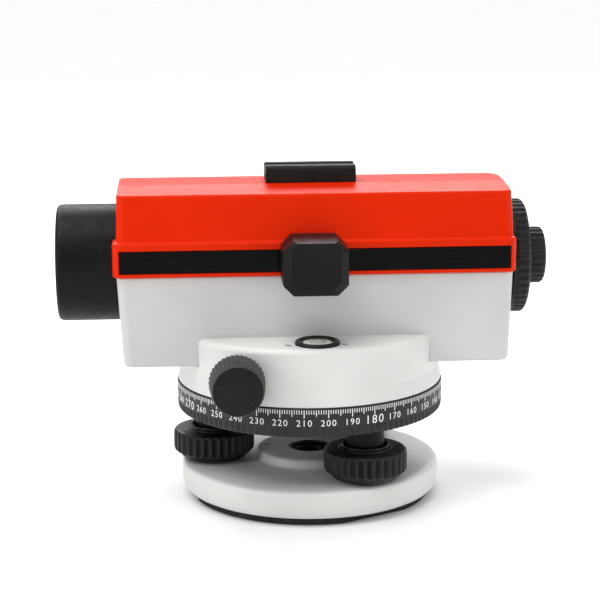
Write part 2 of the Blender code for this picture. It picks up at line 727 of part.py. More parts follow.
def make_cover(cutters):
    (x0, x1), half = COVER_X, COVER_HALF
    (b0, b1), (roof0, roof1) = BAND_X, ROOF_X
    low, high = BAND_Z
    e0, e1 = EAVES_X
    outside = [
        rounded_outline(roof0, roof1, ROOF_HALF, ROOF_Z, 3.0),
        rounded_outline(e0, e1, EAVES_HALF - 0.8, EAVES_Z + 0.2, 3.4),
        rounded_outline(e0 - 0.1, e1 + 0.1, EAVES_HALF, EAVES_Z - 0.8, 3.6),
        rounded_outline(x0, x1, half, high + 0.2, 3.6),
        rounded_outline(b0 + 0.5, b1 - 0.5, BAND_HALF - 0.5, high, 3.8),
        rounded_outline(b0, b1, BAND_HALF, high - 0.6, 4.0),
        rounded_outline(b0, b1, BAND_HALF, low, 4.0),
    ]
    wall = COVER_WALL
    inside = [
        rounded_outline(b0 + wall, b1 - wall, BAND_HALF - wall, low, 2.4),
        rounded_outline(b0 + wall, b1 - wall, BAND_HALF - wall, high - wall, 2.4),
        rounded_outline(x0 + wall, x1 - wall, half - wall, high - wall + 0.4, 2.0),
        rounded_outline(e0 + wall, e1 - wall, EAVES_HALF - wall, EAVES_Z - wall, 2.0),
        rounded_outline(roof0 + wall, roof1 - wall, ROOF_HALF, ROOF_Z - wall, 2.0),
    ]
    cover = loft("top_cover", outside + inside, "red_enamel")
    for cutter in cutters:
        cut(cover, cutter)
    strips = []
    for side, name in ((-1, "near"), (1, "far")):
        floor = BAND_HALF - STRIP_RECESS
        edges = sorted((side * floor, side * (BAND_HALF + 3)))
        cut(cover, box(
            f"strip_recess_{name}", (STRIP_X[0] - GAP, edges[0], STRIP_Z[0] - GAP),
            (STRIP_X[1] + GAP, edges[1], STRIP_Z[1] + GAP), None))
        face = floor + GAP
        edges = sorted((side * face, side * (face + STRIP_THICK)))
        strips.append(box(
            f"side_strip_{name}", (STRIP_X[0], edges[0], STRIP_Z[0]),
            (STRIP_X[1], edges[1], STRIP_Z[1]), "strip_black"))
    return [cover] + strips


def make_sight():
    """The open sight on the flat of the roof, with its aiming notch along the top."""
    side, foot = SIGHT_HALF, ROOF_Z + GAP
    notch_half, notch_depth = SIGHT_NOTCH
    crown = arc(SIGHT_EDGE_R, side - SIGHT_EDGE_R, SIGHT_TOP - SIGHT_EDGE_R, 5, 90, 3)
    notch = [(notch_half, SIGHT_TOP), (0.0, SIGHT_TOP - notch_depth)]
    right = [(side, foot)] + crown + notch
    left = [(-y, z) for y, z in reversed(right[:-1])]
    rings = [[(x, y, z) for y, z in right + left] for x in SIGHT_X]
    return loft("sight_bar", rings, "black_plastic", sharp_deg=30)


# ---------------------------------------------------------------- optics

def lens(name, radius, edge, rim, centre_x, finish="glass", bulge=1.2):
    """A biconvex lens on the optical axis, with its rim and bulge in millimetres."""
    sag_r = (radius * radius + bulge * bulge) / (2 * bulge)
    spread = math.degrees(math.asin(radius / sag_r))
    front = arc(sag_r, 0.0, rim / 2 + bulge - sag_r, 90, 90 - spread, 2)
    back = [(r, -z) for r, z in reversed(front)]
    return turned(
        name, front + back, finish, steps=edge, closed=False, at=(centre_x, 0, OPTIC_Z), axis="X")


def make_objective():
    optic = {"at": (0, 0, OPTIC_Z), "axis": "X"}
    front, back = HOOD_X
    outer, bore, end = SPIGOT
    profile = [
        (bore, end), (outer, end), (outer, back + GAP), (HOOD_R - 1.2, back + GAP - 0.3),
        (HOOD_R, back - 0.9), (HOOD_R, front + 1.6), (HOOD_R - 0.5, front + 0.5),
        (HOOD_R - 1.6, front), (HOOD_BORE_R + 0.6, front), (HOOD_BORE_R, front + 0.6),
        (HOOD_BORE_R, HOOD_STEP_X), (bore, HOOD_STEP_X),
    ]
    hood = turned("objective_hood", profile, "black_metal", steps=28, **optic)
    first, last = CELL_X
    seat_r, seat_x = LENS_SEAT
    profile = [
        (seat_r, last), (CELL_R, last), (CELL_R, first), (LENS_R + GAP, first),
        (LENS_R + GAP, seat_x), (seat_r, seat_x),
    ]
    cell = turned("objective_cell", profile, "black_metal", steps=20, **optic)
    front_lens = lens("objective_lens_front", LENS_R, 20, 3.6, LENS_X[0])
    rear_lens = lens("objective_lens_rear", LENS_R, 20, 1.0, LENS_X[1], bulge=0.8)
    retainer = sleeve(
        "objective_retainer", LENS_R, LENS_R - 1.4, *RETAINER_X, "black_metal", steps=20,
        **optic)
    return [hood, cell, front_lens, rear_lens, retainer]


def focus_height():
    return OPTIC_Z - SLIDE_R[0] - GAP - PINION_R


def make_tube():
    optic = {"at": (0, 0, OPTIC_Z), "axis": "X"}
    tube = sleeve("main_tube", *TUBE_R, *TUBE_X, "black_metal", steps=20, **optic)
    cut(tube, cylinder(
        "pinion_way", 2.2, 5, 40, None, at=(FOCUS_X, 0, focus_height()), axis="Y", sides=16))
    return tube


def make_focusing():
    optic = {"at": (0, 0, OPTIC_Z), "axis": "X"}
    outer, bore = SLIDE_R
    slide = sleeve("focus_slide", outer, bore, *SLIDE_X, "brass", steps=24, **optic)
    glass = lens("focus_lens", bore - GAP, 24, 1.6, FOCUS_X, bulge=0.9)

    at = (FOCUS_X, 0, focus_height())
    near, far = FOCUS_KNOB
    shaft, reach = FOCUS_SHAFT_R, far - 3.0
    profile = [(0.0, reach), (shaft, reach), (shaft, PINION_HALF + 0.2), (PINION_R, PINION_HALF)]
    profile += [(PINION_R, -PINION_HALF), (0.0, -PINION_HALF)]
    pinion = turned("focus_pinion", profile, "steel", steps=20, closed=False, at=at, axis="Y")
    bush = sleeve(
        "focus_bush", FOCUS_BUSH[0], shaft + GAP, FOCUS_BUSH[1], near - GAP, "brass", steps=20,
        at=at, axis="Y")
    bore = shaft + GAP
    floor = reach + GAP
    radius = FOCUS_KNOB_R
    profile = [
        (bore, floor, 0), (bore, near, 0), (radius - 0.8, near, 0.1),
        (radius, near + 1.2, 0.7), (radius - 0.6, far - 0.9, 0.6), (radius - 2.0, far, 0.1),
    ]
    knob = ribbed(
        "focus_knob", profile, FOCUS_RIBS, "black_plastic", blind=True, at=at, axis="Y")
    return [slide, glass], [pinion, knob], bush


def make_compensator():
    """The pendulum compensator: a fixed frame with two prisms, and a swinging one."""
    optic = {"at": (0, 0, OPTIC_Z), "axis": "X"}
    x0, x1 = FRAME_X
    frame = cylinder(
        "compensator_frame", TUBE_R[1] - GAP, x0, x1, "aluminium", sides=32, **optic)
    cut(frame, cylinder("light_way", FRAME_BORE_R, x0 - 4, x1 + 3, None, sides=24, **optic))
    arm_end, arm_near, arm_far, arm_low, arm_high = FRAME_ARM
    for side, name in ((-1, "left"), (1, "right")):
        edges = sorted((side * arm_near, side * arm_far))
        arm = box(
            f"frame_arm_{name}", (x1 - 1.0, edges[0], arm_low), (arm_end, edges[1], arm_high),
            None)
        cut(frame, arm, "UNION")
    fixed = [frame]
    low, shoulder, high = FIXED_PRISM_Z
    length, top_length = FIXED_PRISM_SIZE
    half = FIXED_PRISM_HALF
    for name, x in zip(("front", "rear"), FIXED_PRISM_X):
        corners = (
            (x, low), (x + length, low), (x + length, shoulder), (x + top_length, high),
            (x, high))
        rings = [[(px, y, pz) for px, pz in corners] for y in (-half, half)]
        fixed.append(loft(f"fixed_prism_{name}", rings, "glass"))
    x = PENDULUM_X
    length, half = CARRIER_HALF
    low, high = CARRIER_Z
    carrier = box("pendulum_frame", (x - length, -half, low), (x + length, half, high), "aluminium")
    half, low, high = CARRIER_WINDOW
    reach = 3 * length
    cut(carrier, box("pendulum_window", (x - reach, -half, low), (x + reach, half, high), None))
    low, high, half = low + GAP, high - GAP, half - GAP
    corners = ((x - 5.0, low), (x + 5.0, low), (x, high))
    rings = [[(px, y, pz) for px, pz in corners] for y in (-half, half)]
    prism = loft("pendulum_prism", rings, "glass")
    return fixed, [carrier, prism]


def make_eyepiece():
    optic = {"at": (0, 0, OPTIC_Z), "axis": "X"}
    cell = sleeve("reticle_cell", TUBE_R[1] - GAP, *RETICLE_CELL, "brass", steps=20, **optic)
    glass = cylinder("reticle_glass", *RETICLE_GLASS, "glass", sides=24, **optic)
    start, flange, end = COVER_RING_X
    spigot_r, bore, spigot_end = COVER_SPIGOT
    radius = COVER_RING_R
    profile = [
        (bore, end, 0), (radius - 2.2, end, 0), (radius, end - 1.6, 0.5),
        (radius, flange + 0.2, 0.5), (radius - 0.6, flange, 0), (radius - 0.6, start, 0),
        (spigot_r, start, 0), (spigot_r, spigot_end, 0), (bore, spigot_end, 0),
    ]
    cover = ribbed("eyepiece_cover", profile, COVER_RIBS, "black_plastic", **optic)
    outer, inner, first, last = EYE_TUBE
    tube = sleeve("eyepiece_tube", outer, inner, first, last, "black_metal", steps=20, **optic)
    eye = lens("eye_lens", inner - GAP, 24, 1.4, EYE_LENS_X, bulge=0.9)
    outer, inner, first, last = DIOPTER
    profile = [
        (inner, last, 0), (outer - 1.5, last, 0), (outer, last - 1.2, 0.4),
        (outer, first + 0.6, 0.4), (outer - 0.5, first, 0), (inner, first, 0),
    ]
    ring = ribbed("diopter_ring", profile, DIOPTER_RIBS, "black_plastic", **optic)
    return [cell, glass, cover], [tube, eye], [ring]


# ---------------------------------------------------------------- assembly

def hang_all(pieces, parent):
    for piece in pieces:
        hang(piece, parent)


def main():
    clear_scene()
    make_base()
    make_spring_plate()
    feet = [make_foot(index) for index in range(3)]
    first_x = foot_place(0)[0]
    cross_tilt = pivot("cross_tilt_axis", (first_x, 0, BALL_Z))
    hang(feet[0][0], cross_tilt)
    for index, (_, screw, knob) in enumerate(feet):
        x, y = foot_place(index)
        parent = cross_tilt if index == 0 else None
        turn = pivot(f"foot_screw_axis_{index + 1}", (x, y, BALL_Z), parent)
        hang_all((screw, knob), turn)
    main_tilt = pivot("main_tilt_axis", (foot_place(1)[0], 0, BALL_Z), cross_tilt)
    hang_all(make_tribrach(), main_tilt)

    circle_axis = pivot("circle_axis", (0, 0, CIRCLE_Z[0]), main_tilt)
    hang(make_circle(), circle_axis)
    clutch_axis = pivot("clutch_axis", (0, 0, WHEEL_Z[0]), main_tilt)
    hang(make_worm_wheel(), clutch_axis)

    head_axis = pivot("head_axis", (0, 0, HEAD_Z[0]), clutch_axis)
    hang_all(make_head(), head_axis)
    bushes, drive = make_tangent_drive()
    hang_all(bushes, head_axis)
    tangent_axis = pivot("tangent_axis", (WORM_X, 0, WORM_Z), head_axis)
    hang_all(drive, tangent_axis)
    hang_all(make_bubble(), head_axis)
    hang_all(make_prism_housing(), head_axis)

    cutters = end_cutters()
    hang(make_casing(cutters), head_axis)
    hang_all(make_cover(cutters), head_axis)
    hang(make_sight(), head_axis)
    hang_all(make_objective(), head_axis)
    hang(make_tube(), head_axis)

    sliding, turning, bush = make_focusing()
    hang(bush, head_axis)
    slide_axis = pivot("focus_slide_axis", (FOCUS_X, 0, OPTIC_Z), head_axis)
    hang_all(sliding, slide_axis)
    focus_axis = pivot("focus_knob_axis", (FOCUS_X, FOCUS_KNOB[0], focus_height()), head_axis)
    hang_all(turning, focus_axis)

    fixed, swinging = make_compensator()
    hang_all(fixed, head_axis)
    pendulum_axis = pivot("pendulum_axis", (PENDULUM_X, 0, PENDULUM_Z), head_axis)
    hang_all(swinging, pendulum_axis)

    held, moving, gripped = make_eyepiece()
    hang_all(held, head_axis)
    eyepiece_axis = pivot("eyepiece_axis", (DIOPTER[2], 0, OPTIC_Z), head_axis)
    hang_all(moving + gripped, eyepiece_axis)


main()
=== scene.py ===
"""Looks of an automatic level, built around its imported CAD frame.

Sizes are in millimetres in the row frame, and MM turns them into metres. +X runs from the
objective to the eyepiece, +Y to the observer's right and +Z up the vertical axis.
"""

import math

import bmesh
import bpy
import numpy as np
from mathutils import Matrix, Vector


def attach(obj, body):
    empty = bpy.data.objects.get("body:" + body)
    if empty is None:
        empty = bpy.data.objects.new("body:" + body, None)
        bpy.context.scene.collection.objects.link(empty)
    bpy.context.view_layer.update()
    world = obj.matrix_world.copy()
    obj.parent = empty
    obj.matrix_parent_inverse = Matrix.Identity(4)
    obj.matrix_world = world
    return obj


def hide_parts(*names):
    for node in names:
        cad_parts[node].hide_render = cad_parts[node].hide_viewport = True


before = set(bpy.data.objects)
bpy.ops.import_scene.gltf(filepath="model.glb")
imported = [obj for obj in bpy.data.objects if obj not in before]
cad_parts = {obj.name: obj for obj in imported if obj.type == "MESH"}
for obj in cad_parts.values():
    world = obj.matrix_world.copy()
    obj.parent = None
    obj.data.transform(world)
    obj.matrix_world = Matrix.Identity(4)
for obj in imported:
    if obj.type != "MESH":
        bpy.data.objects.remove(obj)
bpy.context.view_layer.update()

MM = 0.001
SAME_POINT = 1e-7                 # in metres: vertices closer than this become one
SLIVER = 0.002                    # edges shorter than this are welded shut
CORNER_STEPS = 8                  # steps round each corner of the casing's outlines
THREAD_STEPS = 40                 # points round a thread
RINGS_PER_TURN = 8                # rings along each turn of a thread
OPTIC_Z = 101.2                   # height of the telescope's axis
OPTIC = {"axis": "X", "at": (0, 0, OPTIC_Z)}
FOOT_R = 41.2                     # from the vertical axis to each foot screw
FOOT_ANGLES = (180.0, 300.0, 60.0)
WORM_AT = (-32.7, 0, 61.6)
FOCUS_AT = (-17.5, 0, 86.9)
BUBBLE_AT = (0.4, -42.0, 0)
BUBBLE_SCREWS = ((-11.0, -43.8, 0), (11.0, -43.8, 0))
CASING_SCREWS = ((-62, -21, 0), (64, -21, 0), (-62, 21, 0), (64, 21, 0))
SCENE = bpy.context.scene


# ---------------------------------------------------------------- shapes

def add_object(name, data):
    obj = bpy.data.objects.new(name, data)
    SCENE.collection.objects.link(obj)
    return obj


def soft(points, radius, steps=3):
    """Round the inner corners of a line of points, each a tuple of the same length."""
    line = [np.array(point, float) for point in points]
    out = [line[0]]
    for before, here, after in zip(line, line[1:], line[2:]):
        back, ahead = before - here, after - here
        room_back, room_ahead = np.linalg.norm(back), np.linalg.norm(ahead)
        cut = min(radius, 0.45 * room_back, 0.45 * room_ahead)
        start, end = here + back / room_back * cut, here + ahead / room_ahead * cut
        for step in range(steps + 1):
            t = step / steps
            out.append((1 - t) ** 2 * start + 2 * t * (1 - t) * here + t * t * end)
    out.append(line[-1])
    return [tuple(float(x) for x in point) for point in out]


def loop(profile, radius, steps=2):
    """A closed profile, whose last point repeats the first, with its corners rounded."""
    return soft(profile, radius, steps)[:-1]


def turn_to(axis, at):
    """The matrix that takes a shape made along +Z to an axis through a point, in mm."""
    turns = {
        "Z": Matrix.Identity(4),
        "X": Matrix.Rotation(math.pi / 2, 4, "Y"),
        "-Y": Matrix.Rotation(math.pi / 2, 4, "X"),
        "Y": Matrix.Rotation(-math.pi / 2, 4, "X"),
    }
    return Matrix.Translation(Vector(at)) @ turns[axis]


def mesh_from(name, verts, faces, matrix=None):
    mesh = bpy.data.meshes.new(name)
    points = np.array(verts, float)
    if matrix is not None:
        m = np.array(matrix, float)
        points = points @ m[:3, :3].T + m[:3, 3]
    mesh.from_pydata((points * MM).tolist(), [], faces)
    mesh.validate()
    return mesh


def skin(name, rings, closed=False, capped=True, matrix=None):
    """Faces between rings of the same number of points."""
    count = len(rings[0])
    verts = np.concatenate([np.array(ring, float) for ring in rings])
    faces = []
    pairs = [(i, i + 1) for i in range(len(rings) - 1)]
    if closed:
        pairs.append((len(rings) - 1, 0))
    for a, b in pairs:
        for i in range(count):
            j = (i + 1) % count
            faces.append((a * count + i, a * count + j, b * count + j, b * count + i))
    if capped and not closed:
        faces.append(tuple(reversed(range(count))))
        faces.append(tuple(range((len(rings) - 1) * count, len(rings) * count)))
    return outward(mesh_from(name, verts, faces, matrix))


def outward(mesh):
    """The mesh with coinciding points joined and every face turned to the outside."""
    bm = bmesh.new()
    bm.from_mesh(mesh)
    bmesh.ops.remove_doubles(bm, verts=bm.verts, dist=SAME_POINT)
    bmesh.ops.recalc_face_normals(bm, faces=bm.faces)
    bm.to_mesh(mesh)
    bm.free()
    return mesh


def around(steps):
    return np.linspace(0, 2 * math.pi, steps, endpoint=False)


def circle_points(reach, angle, height):
    """Points round the Z axis at one height. The reach is one number or one for each angle."""
    return np.stack([reach * np.cos(angle), reach * np.sin(angle), np.full(len(angle), height)], 1)


def rib_wave(phase, power):
    """0 on a rib's crown and 1 at the bottom of the groove between two ribs."""
    return (0.5 - 0.5 * np.cos(phase)) ** power


def turned(name, profile, steps=96, ribs=0, power=1.6, axis="Z", at=(0, 0, 0), closed=True):
    """A turned piece from (radius, height) or (radius, height, rib depth) points.

    An open profile starts and ends on the axis, where its rings close to a point.
    """
    if ribs:
        steps = ribs * max(6, round(steps / ribs))
    angle = around(steps)
    wave = rib_wave(angle * ribs, power) if ribs else np.zeros(steps)
    rings = []
    for point in profile:
        radius, height = point[0], point[1]
        depth = point[2] if len(point) > 2 else 0.0
        rings.append(circle_points(np.maximum(radius - depth * wave, 0.0), angle, height))
    return skin(name, rings, closed=closed, capped=False, matrix=turn_to(axis, at))


def threaded(name, radius, low, high, pitch, depth, ends, at=(0, 0, 0), inner=False):
    """A thread between two heights, with the plain points in ends before and after it."""
    angle = around(THREAD_STEPS)
    before, after = ends
    rings = [circle_points(r, angle, h) for r, h in before]
    count = int((high - low) / pitch * RINGS_PER_TURN)
    for i in range(count + 1):
        h = low + (high - low) * i / count
        wave = np.abs(((h / pitch - angle / (2 * math.pi)) % 1.0) * 2 - 1)
        fade = min(1.0, (h - low) / pitch, (high - h) / pitch)
        r = radius + (depth if inner else -depth) * wave * max(fade, 0.0)
        rings.append(circle_points(r, angle, h))
    rings += [circle_points(r, angle, h) for r, h in after]
    return skin(name, rings, closed=inner, capped=not inner, matrix=turn_to("Z", at))


def outline(x_low, x_high, half, height, radius):
    """A rounded rectangle of points at one height."""
    points = []
    corners = (
        (x_high - radius, half - radius, 0.0), (x_low + radius, half - radius, 90.0),
        (x_low + radius, radius - half, 180.0), (x_high - radius, radius - half, 270.0))
    for x, y, start in corners:
        for step in range(CORNER_STEPS + 1):
            angle = math.radians(start + 90.0 * step / CORNER_STEPS)
            points.append((x + radius * math.cos(angle), y + radius * math.sin(angle), height))
    return points


def box_mesh(name, low, high):
    x, y, z = zip(low, high)
    verts = [(x[i & 1], y[i >> 1 & 1], z[i >> 2]) for i in range(8)]
    faces = [(0, 2, 3, 1), (4, 5, 7, 6), (0, 1, 5, 4), (2, 6, 7, 3), (0, 4, 6, 2), (1, 3, 7, 5)]
    return outward(mesh_from(name, verts, faces))


def rod(name, radius, low, high, axis="Z", at=(0, 0, 0), steps=64, top_radius=None):
    """A plain rod, or a cone where its top has a radius of its own."""
    top_radius = radius if top_radius is None else top_radius
    angle = around(steps)
    rings = [circle_points(radius, angle, low), circle_points(top_radius, angle, high)]
    return skin(name, rings, matrix=turn_to(axis, at))


def merge(name, meshes):
    """Several meshes as one."""
    verts, faces = [], []
    for mesh in meshes:
        base = len(verts)
        verts.extend([tuple(v.co) for v in mesh.vertices])
        faces.extend([tuple(base + i for i in p.vertices) for p in mesh.polygons])
        bpy.data.meshes.remove(mesh)
    out = bpy.data.meshes.new(name)
    out.from_pydata(verts, [], faces)
    return out


def welded(mesh):
    """The mesh without the slivers that cutting and rounding leave."""
    bm = bmesh.new()
    bm.from_mesh(mesh)
    bmesh.ops.dissolve_degenerate(bm, dist=SLIVER * MM, edges=bm.edges)
    bm.to_mesh(mesh)
    bm.free()
    return mesh


def modified(mesh, build):
    """The mesh with the modifiers that build adds to an object of it, applied."""
    holder = add_object("holder", mesh)
    build(holder)
    graph = bpy.context.evaluated_depsgraph_get()
    graph.update()
    done = bpy.data.meshes.new_from_object(holder.evaluated_get(graph))
    bpy.data.objects.remove(holder)
    name = mesh.name
    bpy.data.meshes.remove(mesh)
    done.name = name
    return welded(done)


def carve(mesh, *cutters):
    """The mesh with each cutter's space taken out of it."""
    for cutter in cutters:
        tool = add_object("cutter", cutter)

        def build(holder, tool=tool):
            boolean = holder.modifiers.new("cut", "BOOLEAN")
            boolean.object = tool
            boolean.solver = "EXACT"

        mesh = modified(mesh, build)
        bpy.data.objects.remove(tool)
    return mesh


def bevelled(mesh, width, degrees=30.0, segments=3):
    """The mesh with its edges sharper than an angle rounded off."""
    def build(holder):
        edge = holder.modifiers.new("edge", "BEVEL")
        edge.width = width * MM
        edge.segments = segments
        edge.limit_method = "ANGLE"
        edge.angle_limit = math.radians(degrees)
        edge.use_clamp_overlap = True
    return modified(mesh, build)


# ---------------------------------------------------------------- finishes

class Finish:
    """A procedural material: grain and edge wear, on the red enamel also a painted edge highlight,
    at a scale in millimetres, over a Principled shader.
    """

    def __init__(self, name):
        self.material = bpy.data.materials.new(name)
        self.material.use_nodes = True
        self.tree = self.material.node_tree
        self.shader = self.tree.nodes["Principled BSDF"]
        self.where = self.add("ShaderNodeTexCoord").outputs["Object"]
        self.bumps = None

    def add(self, kind, **values):
        node = self.tree.nodes.new(kind)
        for key, value in values.items():
            setattr(node, key, value)
        return node

    def link(self, out, socket):
        self.tree.links.new(out, socket)

    def noise(self, size, detail=4.0, rough=0.55, stretch=(1, 1, 1)):
        """Noise whose features are about size millimetres across."""
        mapping = self.add("ShaderNodeMapping")
        mapping.inputs["Scale"].default_value = stretch
        self.link(self.where, mapping.inputs["Vector"])
        node = self.add("ShaderNodeTexNoise")
        node.inputs["Scale"].default_value = 1.0 / (size * MM)
        node.inputs["Detail"].default_value = detail
        node.inputs["Roughness"].default_value = rough
        self.link(mapping.outputs["Vector"], node.inputs["Vector"])
        return node.outputs["Fac"]

    def spread(self, value, low, high, to_low, to_high):
        """The value's range from low to high, stretched to another range and held at its ends."""
        node = self.add("ShaderNodeMapRange")
        for key, number in zip(("From Min", "From Max", "To Min", "To Max"),
                               (low, high, to_low, to_high)):
            node.inputs[key].default_value = number
        self.link(value, node.inputs["Value"])
        return node.outputs["Result"]

    def times(self, a, b):
        """A node's output times a number or another node's output."""
        node = self.add("ShaderNodeMath", operation="MULTIPLY")
        self.link(a, node.inputs[0])
        if hasattr(b, "links"):
            self.link(b, node.inputs[1])
        else:
            node.inputs[1].default_value = b
        return node.outputs[0]

    def mix(self, share, first, second):
        """A colour between two, each a colour or another node's output."""
        node = self.add("ShaderNodeMix", data_type="RGBA")
        self.link(share, node.inputs["Factor"])
        for socket, colour in ((node.inputs[6], first), (node.inputs[7], second)):
            if hasattr(colour, "links"):
                self.link(colour, socket)
            else:
                socket.default_value = (*colour, 1.0)
        return node.outputs[2]

    def edges(self, low=0.53, high=0.62):
        """1 on sharp outer edges, broken up so that the wear, and on the red enamel the painted
        edge highlight, isn't even.
        """
        point = self.add("ShaderNodeNewGeometry").outputs["Pointiness"]
        edge_wear_and_highlight = self.spread(point, low, high, 0.0, 1.0)
        broken = self.spread(self.noise(1.3, 3.0), 0.42, 0.62, 0.0, 1.0)
        return self.times(edge_wear_and_highlight, broken)

    def bump(self, height, strength, distance):
        node = self.add("ShaderNodeBump")
        node.inputs["Strength"].default_value = strength
        node.inputs["Distance"].default_value = distance * MM
        self.link(height, node.inputs["Height"])
        if self.bumps is not None:
            self.link(self.bumps, node.inputs["Normal"])
        self.bumps = node.outputs["Normal"]
        self.link(self.bumps, self.shader.inputs["Normal"])

    def put(self, socket, value):
        """Give one of the shader's sockets a number, a colour or another node's output."""
        target = self.shader.inputs[socket]
        if hasattr(value, "links"):
            self.link(value, target)
        elif isinstance(value, tuple):
            target.default_value = (*value, 1.0)
        else:
            target.default_value = value


def shade(colour, factor):
    """A lighter or darker version of a colour."""
    return tuple(min(1.0, c * factor) for c in colour)


def painted(name, colour, edge_wear_and_highlight, rough, grain, strength, spec=0.5, speck=None,
            tint=(1.0, 1.0, 1.0)):
    """Sprayed enamel: slight orange peel, a fine texture, dust and edge wear, on the red also a
    painted edge highlight.
    """
    f = Finish(name)
    cloud = f.spread(f.noise(38.0, 3.0), 0.35, 0.65, 0.0, 1.0)
    base = f.mix(cloud, shade(colour, 0.95), shade(colour, 1.03))
    if speck:
        dots = f.spread(f.noise(0.55, 2.0), 0.66, 0.74, 0.0, 1.0)
        base = f.mix(f.times(dots, 0.5), base, speck)
    # sharp edges take the edge colour: wear, and on the red enamel a lighter red that is a painted
    # edge highlight
    f.put("Base Color", f.mix(f.times(f.edges(0.76, 0.88), 0.55), base, edge_wear_and_highlight))
    f.put("Roughness", f.spread(f.noise(6.0, 5.0), 0.3, 0.7, rough - 0.05, rough + 0.08))
    f.put("Specular IOR Level", spec)
    f.put("Specular Tint", tint)
    f.bump(f.noise(2.6, 2.0), 0.10, 0.10)
    f.bump(f.noise(grain, 3.0), strength, 0.05)
    return f.material


def moulded(name, colour, edge_wear_and_highlight, rough, grain=0.35, strength=0.35, spec=0.28, wear=0.6):
    """Moulded or anodised black: an even fine grain, handling marks and rubbed edges."""
    f = Finish(name)
    cloud = f.spread(f.noise(14.0, 4.0), 0.35, 0.65, 0.0, 1.0)
    base = f.mix(cloud, shade(colour, 0.82), shade(colour, 1.22))
    f.put("Base Color", f.mix(f.times(f.edges(), wear), base, edge_wear_and_highlight))
    marks = f.noise(4.0, 6.0, 0.65, (1.0, 1.0, 0.35))
    f.put("Roughness", f.spread(marks, 0.3, 0.7, rough - 0.07, rough + 0.10))
    f.put("Specular IOR Level", spec)
    f.bump(f.noise(grain, 3.0), strength, 0.03)
    return f.material


def gloss(name, colour):
    """A smooth black plastic strip with faint hairline scratches."""
    f = Finish(name)
    hair = f.spread(f.noise(0.9, 2.0, 0.5, (0.06, 1.0, 1.6)), 0.60, 0.72, 0.0, 1.0)
    smear = f.spread(f.noise(22.0, 3.0), 0.35, 0.65, 0.13, 0.19)
    f.put("Base Color", f.mix(f.times(hair, 0.25), colour, (0.02, 0.02, 0.02)))
    f.put("Roughness", smear)
    f.put("Specular IOR Level", 0.07)
    f.bump(f.noise(30.0, 1.0), 0.03, 0.2)
    return f.material


def metal(name, colour, rough, dirt=(0.08, 0.07, 0.06)):
    """Machined metal with fine tool lines and a little grime."""
    f = Finish(name)
    lines = f.noise(0.5, 2.0, 0.5, (1, 1, 14))
    grime = f.spread(f.noise(7.0, 6.0, 0.7), 0.5, 0.75, 0.0, 0.45)
    tone = f.mix(f.spread(lines, 0.3, 0.7, 0.0, 1.0), shade(colour, 0.86), colour)
    f.put("Base Color", f.mix(grime, tone, dirt))
    f.put("Roughness", f.spread(lines, 0.3, 0.7, rough - 0.06, rough + 0.1))
    f.put("Metallic", 1.0)
    f.bump(lines, 0.12, 0.02)
    return f.material


def glassy(name, colour, coat=None):
    """Clear glass with faint smears and, on a lens, a tinted coating."""
    f = Finish(name)
    f.put("Base Color", colour)
    f.put("Roughness", f.spread(f.noise(5.0, 4.0), 0.3, 0.7, 0.01, 0.04))
    f.put("Transmission Weight", 1.0)
    f.put("IOR", 1.5)
    if coat:
        f.put("Coat Weight", 0.6)
        f.put("Coat Tint", coat)
        f.put("Coat Roughness", 0.03)
    f.bump(f.noise(9.0, 2.0), 0.02, 0.02)
    return f.material


